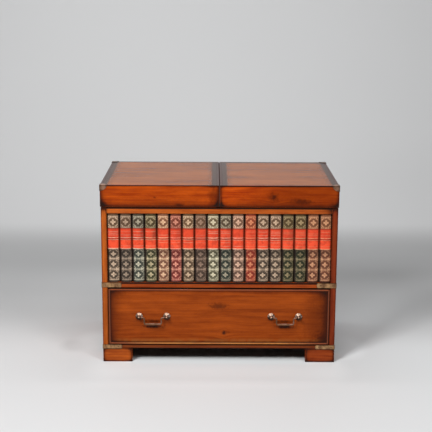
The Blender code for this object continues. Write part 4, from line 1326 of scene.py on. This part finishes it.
class CABINET_OT_brass_plates(bpy.types.Operator):
    """Finish the straps, corners and hinges, and set their screws"""
    bl_idname = "cabinet.brass_plates"
    bl_label = "Brass Plates"

    def execute(self, context):
        looks = context.scene.cabinet_looks
        for name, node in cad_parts.items():
            if "strap" in name or "corner" in name or "hinge" in name:
                dress(node, self.plate_brass(name, looks))
        screw_brass = aged_brass("screw_brass", looks, looks.colours.brass, 9.0, amount=0.55)
        for level in ("mid", "base"):
            for hand, side in SIDES:
                self.strap_screws(level + "_strap_" + hand, side, screw_brass, looks.sizes.screw_radius)
        for hand, side in SIDES:
            for part, body, way in (("lid", "lid_" + hand, -1), ("case", "carcass", 1)):
                self.leaf_screws("hinge_" + hand + "_" + part + "_leaf", body, side, way, screw_brass)
        return {"FINISHED"}

    def plate_brass(self, name, looks):
        """Brass for one strap, corner or hinge. The corners at the back are the darkest."""
        metal = looks.colours.brass if "strap" in name else looks.colours.corner
        if "hinge" in name:
            return aged_brass(name + "_brass", looks, metal, seed_of(name), roughness=0.52)
        if "corner_back" in name:
            metal = [part * 0.4 for part in metal]
        reach = STRAP_REACH if "strap" in name else CORNER_REACH
        return aged_brass(
            name + "_brass", looks, metal, seed_of(name), roughness=0.34, box=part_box(name), reach=reach,
        )

    def strap_screws(self, name, side, material, radius):
        """Two screws through the front leg and two through the side leg."""
        low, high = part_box(name)
        middle = (low.z + high.z) / 2
        outer = high.x if side > 0 else low.x
        # The slots stand at odd angles
        spots = []
        for reach in STRAP_SCREW_REACHES:
            front = Vector((outer - side * reach, low.y, middle))
            flank = Vector((outer, low.y + reach, middle))
            spots.append((front, Vector((0, -1, 0)), reach * 31))
            spots.append((flank, Vector((side, 0, 0)), reach * 57))
        add_screws(name + "_screws", "carcass", spots, material, radius)

    def leaf_screws(self, node, body, side, way, material):
        """Small countersunk screws along a hinge leaf, flush with its inner face."""
        low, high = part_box(node)
        x = side * (LEAF_OUTER - LEAF_SCREW_INSET)
        z = HINGE_LEVEL - way * (LEAF_SPACING / 2 + SCREW_SINK)
        spots = []
        for number in range(LEAF_SCREW_COUNT):
            y = low.y + (high.y - low.y) * (number + 0.5) / LEAF_SCREW_COUNT
            spots.append((Vector((x, y, z)), Vector((0, 0, way)), number * 1.3))
        add_screws(node + "_screws", body, spots, material, LEAF_SCREW_RADIUS)


# Handles

# A post's head, and where it begins beyond the collar, from the drawer's face
HEAD_RADIUS = 0.0065
HEAD_STAND = 0.0170
COLLAR_END = 0.0100
# A bail: its drop, half its length, its corners, its pins and the radius of each stretch
BAIL_DROP = 0.0236
BAIL_HALF_LENGTH = 0.0290
BAIL_CORNER = 0.0050
BAIL_PIN_RADIUS = 0.0020
BAIL_PIN_PAST = 0.0014
BAIL_LEG_RADIUS = 0.0027
BAIL_BAR_RADIUS = 0.0033
BAIL_SWELL_RADIUS = 0.0042
# A post's outline as (radius, distance from the drawer's face), with the nut's from the back of the front
NUT_BACK = 0.018
NUT = (
    (0.0, -0.0033), (0.0057, -0.0033), (0.0060, -0.0030), (0.0060, -0.0003), (0.0025, -0.0003),
)
SPIGOT_RADIUS = 0.0025
ROSE = (
    (0.0123, 0.0003), (0.0125, 0.0007), (0.0123, 0.0012), (0.0118, 0.0017), (0.0110, 0.0023),
    (0.0098, 0.0031), (0.0086, 0.0040), (0.0074, 0.0049), (0.0064, 0.0058), (0.0055, 0.0068),
    (0.0048, 0.0078),
)
COLLAR = ((0.0044, 0.0084), (0.0047, 0.0088), (0.0048, 0.0092), (0.0045, 0.0096))
NECK = ((0.0036, 0.0099), (0.0036, 0.0106))
# The head starts at the neck, this far round from its end
HEAD_START = radians(145)
HEAD_STEPS = 16


def post_profile():
    """A handle post from its nut out to its round head."""
    nut = [(radius, stand - NUT_BACK) for radius, stand in NUT]
    head = []
    for step in range(HEAD_STEPS + 1):
        angle = HEAD_START * (1 - step / HEAD_STEPS)
        head.append((HEAD_RADIUS * sin(angle), HEAD_STAND + HEAD_RADIUS * cos(angle)))
    return [*nut, (SPIGOT_RADIUS, ROSE[0][1]), *ROSE, *COLLAR, *NECK, *head]


def bail_line(steps=8):
    """Half of a bail, from its pin to the middle of the bar, as (across, drop, radius)."""
    pin_x = POST_SPACING / 2
    shoulder = pin_x - HEAD_RADIUS - BAIL_PIN_RADIUS
    points = [(pin_x + BAIL_PIN_PAST, 0.0, BAIL_PIN_RADIUS), (shoulder + 0.001, 0.0, BAIL_PIN_RADIUS)]
    corner_level = BAIL_DROP - BAIL_CORNER
    for step in range(1, steps + 1):
        angle = radians(90 * step / steps)
        across = shoulder - (shoulder - BAIL_HALF_LENGTH) * sin(angle)
        points.append((across, BAIL_CORNER * (1 - cos(angle)), BAIL_LEG_RADIUS))
    points.append((BAIL_HALF_LENGTH, corner_level - 0.002, BAIL_LEG_RADIUS))
    for step in range(steps + 1):
        angle = radians(90 * step / steps)
        across = BAIL_HALF_LENGTH - BAIL_CORNER * (1 - cos(angle))
        radius = BAIL_LEG_RADIUS + (BAIL_BAR_RADIUS - BAIL_LEG_RADIUS) * step / steps
        points.append((across, corner_level + BAIL_CORNER * sin(angle), radius))
    bar = BAIL_HALF_LENGTH - BAIL_CORNER
    for step in range(1, steps + 1):
        part = step / steps
        radius = BAIL_BAR_RADIUS + (BAIL_SWELL_RADIUS - BAIL_BAR_RADIUS) * part * part * (3 - 2 * part)
        points.append((bar * (1 - part), BAIL_DROP, radius))
    return points


def bail_mesh(name, sides=24):
    """A round bar along the whole of a bail, which lies in one plane of constant y."""
    half = bail_line()
    line = half + [(-across, drop, radius) for across, drop, radius in reversed(half[:-1])]
    points = [Vector((across, 0.0, -drop)) for across, drop, _ in line]
    angles = [2 * pi * step / sides for step in range(sides)]
    out = Vector((0, 1, 0))
    rings = []
    for index, (point, (_, _, radius)) in enumerate(zip(points, line)):
        along = (points[min(index + 1, len(points) - 1)] - points[max(index - 1, 0)]).normalized()
        side = along.cross(out)
        rings.append([point + (side * cos(angle) + out * sin(angle)) * radius for angle in angles])
    shape = bmesh.new()
    loft(shape, rings)
    return mesh_of(name, shape)


class CABINET_OT_handles(bpy.types.Operator):
    """Make the two bail handles and their posts"""
    bl_idname = "cabinet.handles"
    bl_label = "Handles"

    def execute(self, context):
        looks = context.scene.cabinet_looks
        post = turned_mesh("handle_post", post_profile(), looks.sizes.turning_steps)
        post.materials.append(aged_brass("post_brass", looks, looks.colours.post, 3.0, dulled_and_shaded=True))
        bail = bail_mesh("handle_bail")
        bail.materials.append(
            aged_brass("bail_brass", looks, looks.colours.bail, 5.0, amount=0.50, roughness=0.44),
        )
        for hand, _ in SIDES:
            node = "handle_" + hand + "_bail"
            low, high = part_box(node)
            piece = new_piece("bail_bar_" + hand, bail.copy())
            piece.location = ((low.x + high.x) / 2, (low.y + high.y) / 2, high.z - BAIL_PIN_RADIUS)
            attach(piece, "bail_" + hand)
            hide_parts(node)
            for end, _ in SIDES:
                node = "handle_" + hand + "_post_" + end
                low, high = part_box(node)
                piece = new_piece("post_" + hand + "_" + end, post.copy())
                piece.location = ((low.x + high.x) / 2, CASE_FRONT, (low.z + high.z) / 2)
                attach(piece, "drawer")
                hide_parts(node)
        bpy.data.meshes.remove(post)
        bpy.data.meshes.remove(bail)
        return {"FINISHED"}


# Stage

# The photograph's camera: its width in pixels, its focal length in them, and where the depth lines meet
IMAGE_SIZE = 432
SENSOR_WIDTH = 36.0
FOCAL_PX = 1075.0
DEPTH_LINES_MEET = (212.3, -21.0)
CAMERA_ROLL = radians(0.28)
CAMERA_PLACE = (-0.0236, -3.7424, 1.2911)


def photo_camera():
    """The camera that took the view: its pitch and yaw follow from where the depth lines meet."""
    beside = IMAGE_SIZE / 2 - DEPTH_LINES_MEET[0]
    above = IMAGE_SIZE / 2 - DEPTH_LINES_MEET[1]
    pitch = atan(above / FOCAL_PX)
    yaw = atan(beside / hypot(FOCAL_PX, above))
    data = bpy.data.cameras.new("photo_camera")
    data.sensor_width = SENSOR_WIDTH
    data.lens = FOCAL_PX * SENSOR_WIDTH / IMAGE_SIZE
    camera = bpy.data.objects.new("photo_camera", data)
    bpy.context.scene.collection.objects.link(camera)
    turn = Matrix.Rotation(-yaw, 4, "Z") @ Matrix.Rotation(pi / 2 - pitch, 4, "X")
    camera.matrix_world = Matrix.Translation(CAMERA_PLACE) @ turn @ Matrix.Rotation(CAMERA_ROLL, 4, "Z")
    bpy.context.scene.camera = camera


# Lights, as (place, target, width, height, power)
LIGHTS = {
    "key": ((-1.75, -2.95, 3.05), (0.0, -0.2, 0.2), 1.0, 1.0, 110),
    "fill": ((1.95, -2.85, 2.95), (0.0, -0.2, 0.2), 1.1, 1.1, 34),
    "overhead": ((-0.15, -1.45, 2.75), (0.0, -0.35, 0.3), 1.6, 0.9, 23),
    "backdrop": ((0.0, 0.7, 3.6), (0.0, 2.5, 1.3), 3.2, 0.5, 36),
}
# A trace of even light from all round
WORLD_COLOUR = (0.86, 0.88, 0.92)
WORLD_STRENGTH = 0.01


def soft_light(name, place, target, width, height, power):
    """A rectangular lamp that faces its target."""
    data = bpy.data.lights.new(name, "AREA")
    data.shape = "RECTANGLE"
    data.size = width
    data.size_y = height
    data.energy = power
    light = bpy.data.objects.new(name, data)
    bpy.context.scene.collection.objects.link(light)
    light.location = place
    light.rotation_euler = (Vector(target) - Vector(place)).to_track_quat("-Z", "Y").to_euler()


# The floor, and the paper backdrop that curves up from it: half widths, and places along the depth
FLOOR_HALF = 7.0
FLOOR_FRONT = 9.0
FLOOR_BACK = 7.0
CURVE_START = 1.25
CURVE_RADIUS = 1.25
PAPER_HALF = 1.6
PAPER_TOP = 3.0


def paper_line():
    """The backdrop's line of (y, z): it curves up from the floor."""
    line = [(CURVE_START, 0.0)]
    steps = 32
    for step in range(1, steps + 1):
        angle = radians(90 * step / steps)
        line.append((CURVE_START + CURVE_RADIUS * sin(angle), CURVE_RADIUS * (1 - cos(angle))))
    line.append((CURVE_START + CURVE_RADIUS, PAPER_TOP))
    return line


def sheet_mesh(name, line, half):
    """A sheet as wide as twice its half, along a line of (y, z)."""
    shape = bmesh.new()
    rows = [[shape.verts.new((x, y, z)) for x in (-half, half)] for y, z in line]
    for near, far in zip(rows, rows[1:]):
        shape.faces.new((near[0], near[1], far[1], far[0]))
    mesh = bpy.data.meshes.new(name)
    shape.to_mesh(mesh)
    shape.free()
    mesh.shade_smooth()
    return mesh


def sweep_paint(looks):
    """Painted light and shade on the plain floor: greyer where the floor runs back, and palest close round
    the cabinet.
    """
    material, g, shader = new_material("pale_floor")
    place, _ = g.coordinates()
    x, y, z = g.split(place)
    # Painted shade on the floor and backdrop goes towards this grey
    grey = [part * 0.62 for part in looks.colours.floor]

    def patch(middle, size, core):
        """A round patch of floor, full within a share of its size."""
        return g.ramp(g.hypot((x - middle[0]) / size[0], (y - middle[1]) / size[1]), 1.0, core)

    # Where the painted shade behind the cabinet is held back: in the shadow to its right, and on its left
    beside = g.ramp(x - y * 0.60, 0.64, 0.32) * g.ramp(x, 0.28, 0.40) * g.ramp(y, 1.00, 0.55)
    middle = g.ramp(y, 0.20, 0.55) * g.ramp(y, 1.15, 0.75)
    left = g.ramp(x, 0.1, -0.3) * (middle * (g.ramp(x, -1.0, -0.4) * 0.25 + 0.24) + 0.06)
    # Painted shade: darker where the floor runs back behind the cabinet and up the right of the backdrop,
    # with a little even noise
    behind = g.ramp(y, -0.20, 0.65) * g.ramp(z, 0.07, 0.0) * (1.0 - beside * 0.74 - left)
    behind = behind * (0.95 - g.ramp(x, -0.2, -1.3) * 0.14)
    right = g.ramp(x, -1.0, 1.8) * g.ramp(z, 0.0, 0.3) * 0.12
    right = right + g.ramp(x, 0.2, 1.2) * g.ramp(z, 0.5, 0.15) * g.ramp(z, 0.0, 0.05) * 0.10
    uneven = g.noise(place, scale=1.2) * 0.05
    surface = g.mix(behind + right + uneven, looks.colours.floor, grey)
    # Painted light in front of the cabinet, to its front right and in the shadow to its right
    before = g.near(y, -0.24, 0.26, 0.06) * g.ramp(abs(x), 0.50, 0.34) * 0.75
    before_right = g.ramp(x, 0.2, 0.8) * g.ramp(y, 0.15, -0.10) * 0.36
    pale = g.larger(before, before_right, beside * g.ramp(y, 0.75, 0.05))
    surface = g.mix(pale, surface, looks.colours.pale_floor)
    # Painted shadow on the floor left of the left foot
    surface = g.mix(patch((-0.52, -0.06), (0.07, 0.09), 0.3) * 0.3, surface, grey)
    # Painted light under the cabinet's front edge and beside its feet
    under_edge = g.near(y, -0.20, 0.06, 0.03) * g.ramp(abs(x), 0.345, 0.315)
    by_right = patch((0.44, -0.06), (0.11, 0.17), 0.4)
    by_left = patch((-0.45, -0.02), (0.10, 0.16), 0.3) * 0.5
    surface = g.mix(g.larger(under_edge, by_right, by_left), surface, looks.colours.pale_floor)
    finish(g, shader, surface, 0.85, {"Specular IOR Level": 0.2})
    return material


class CABINET_OT_stage(bpy.types.Operator):
    """Set the floor, the soft lights and the camera"""
    bl_idname = "cabinet.stage"
    bl_label = "Stage"

    def execute(self, context):
        paint = sweep_paint(context.scene.cabinet_looks)
        floor_line = [(-FLOOR_FRONT, 0.0), (CURVE_START, 0.0), (FLOOR_BACK, 0.0)]
        sheets = (("studio_floor", floor_line, FLOOR_HALF), ("paper_sweep", paper_line(), PAPER_HALF))
        for name, line, half in sheets:
            sheet = new_piece(name, sheet_mesh(name, line, half))
            sheet.data.materials.append(paint)
        for name, values in LIGHTS.items():
            soft_light(name, *values)
        world = bpy.data.worlds.new("studio")
        world.use_nodes = True
        background = world.node_tree.nodes["Background"]
        background.inputs["Color"].default_value = (*WORLD_COLOUR, 1.0)
        background.inputs["Strength"].default_value = WORLD_STRENGTH
        context.scene.world = world
        context.scene.view_settings.view_transform = "Standard"
        photo_camera()
        return {"FINISHED"}


class CabinetLooks(bpy.types.PropertyGroup):
    """All that the panel shows."""
    sizes: PointerProperty(type=CabinetSizes)
    colours: PointerProperty(type=CabinetColours)


OPERATORS = (
    CABINET_OT_stage, CABINET_OT_case_wood, CABINET_OT_lid_wood, CABINET_OT_joint_felt,
    CABINET_OT_drawer_wood, CABINET_OT_drawer_bead, CABINET_OT_book_spines, CABINET_OT_brass_plates,
    CABINET_OT_handles,
)


class CABINET_PT_finishes(bpy.types.Panel):
    """The cabinet's sizes, colours and pieces"""
    bl_idname = "CABINET_PT_finishes"
    bl_label = "Drinks Cabinet"
    bl_space_type = "VIEW_3D"
    bl_region_type = "UI"
    bl_category = "Cabinet"

    def draw(self, context):
        looks = context.scene.cabinet_looks
        for group in (looks.sizes, looks.colours):
            box = self.layout.box()
            for name in group.__annotations__:
                box.prop(group, name)
        for operator in OPERATORS:
            self.layout.operator(operator.bl_idname)


CLASSES = (CabinetSizes, CabinetColours, CabinetLooks, *OPERATORS, CABINET_PT_finishes)


def register():
    for made in CLASSES:
        bpy.utils.register_class(made)
    bpy.types.Scene.cabinet_looks = PointerProperty(type=CabinetLooks)


def unregister():
    del bpy.types.Scene.cabinet_looks
    for made in reversed(CLASSES):
        bpy.utils.unregister_class(made)


def main():
    """Registers the add-on and makes every piece."""
    register()
    make_effects()
    bpy.ops.cabinet.stage()
    bpy.ops.cabinet.case_wood()
    bpy.ops.cabinet.lid_wood()
    bpy.ops.cabinet.joint_felt()
    bpy.ops.cabinet.drawer_wood()
    bpy.ops.cabinet.drawer_bead()
    bpy.ops.cabinet.book_spines()
    bpy.ops.cabinet.brass_plates()
    bpy.ops.cabinet.handles()


if __name__ == "__main__":
    main()
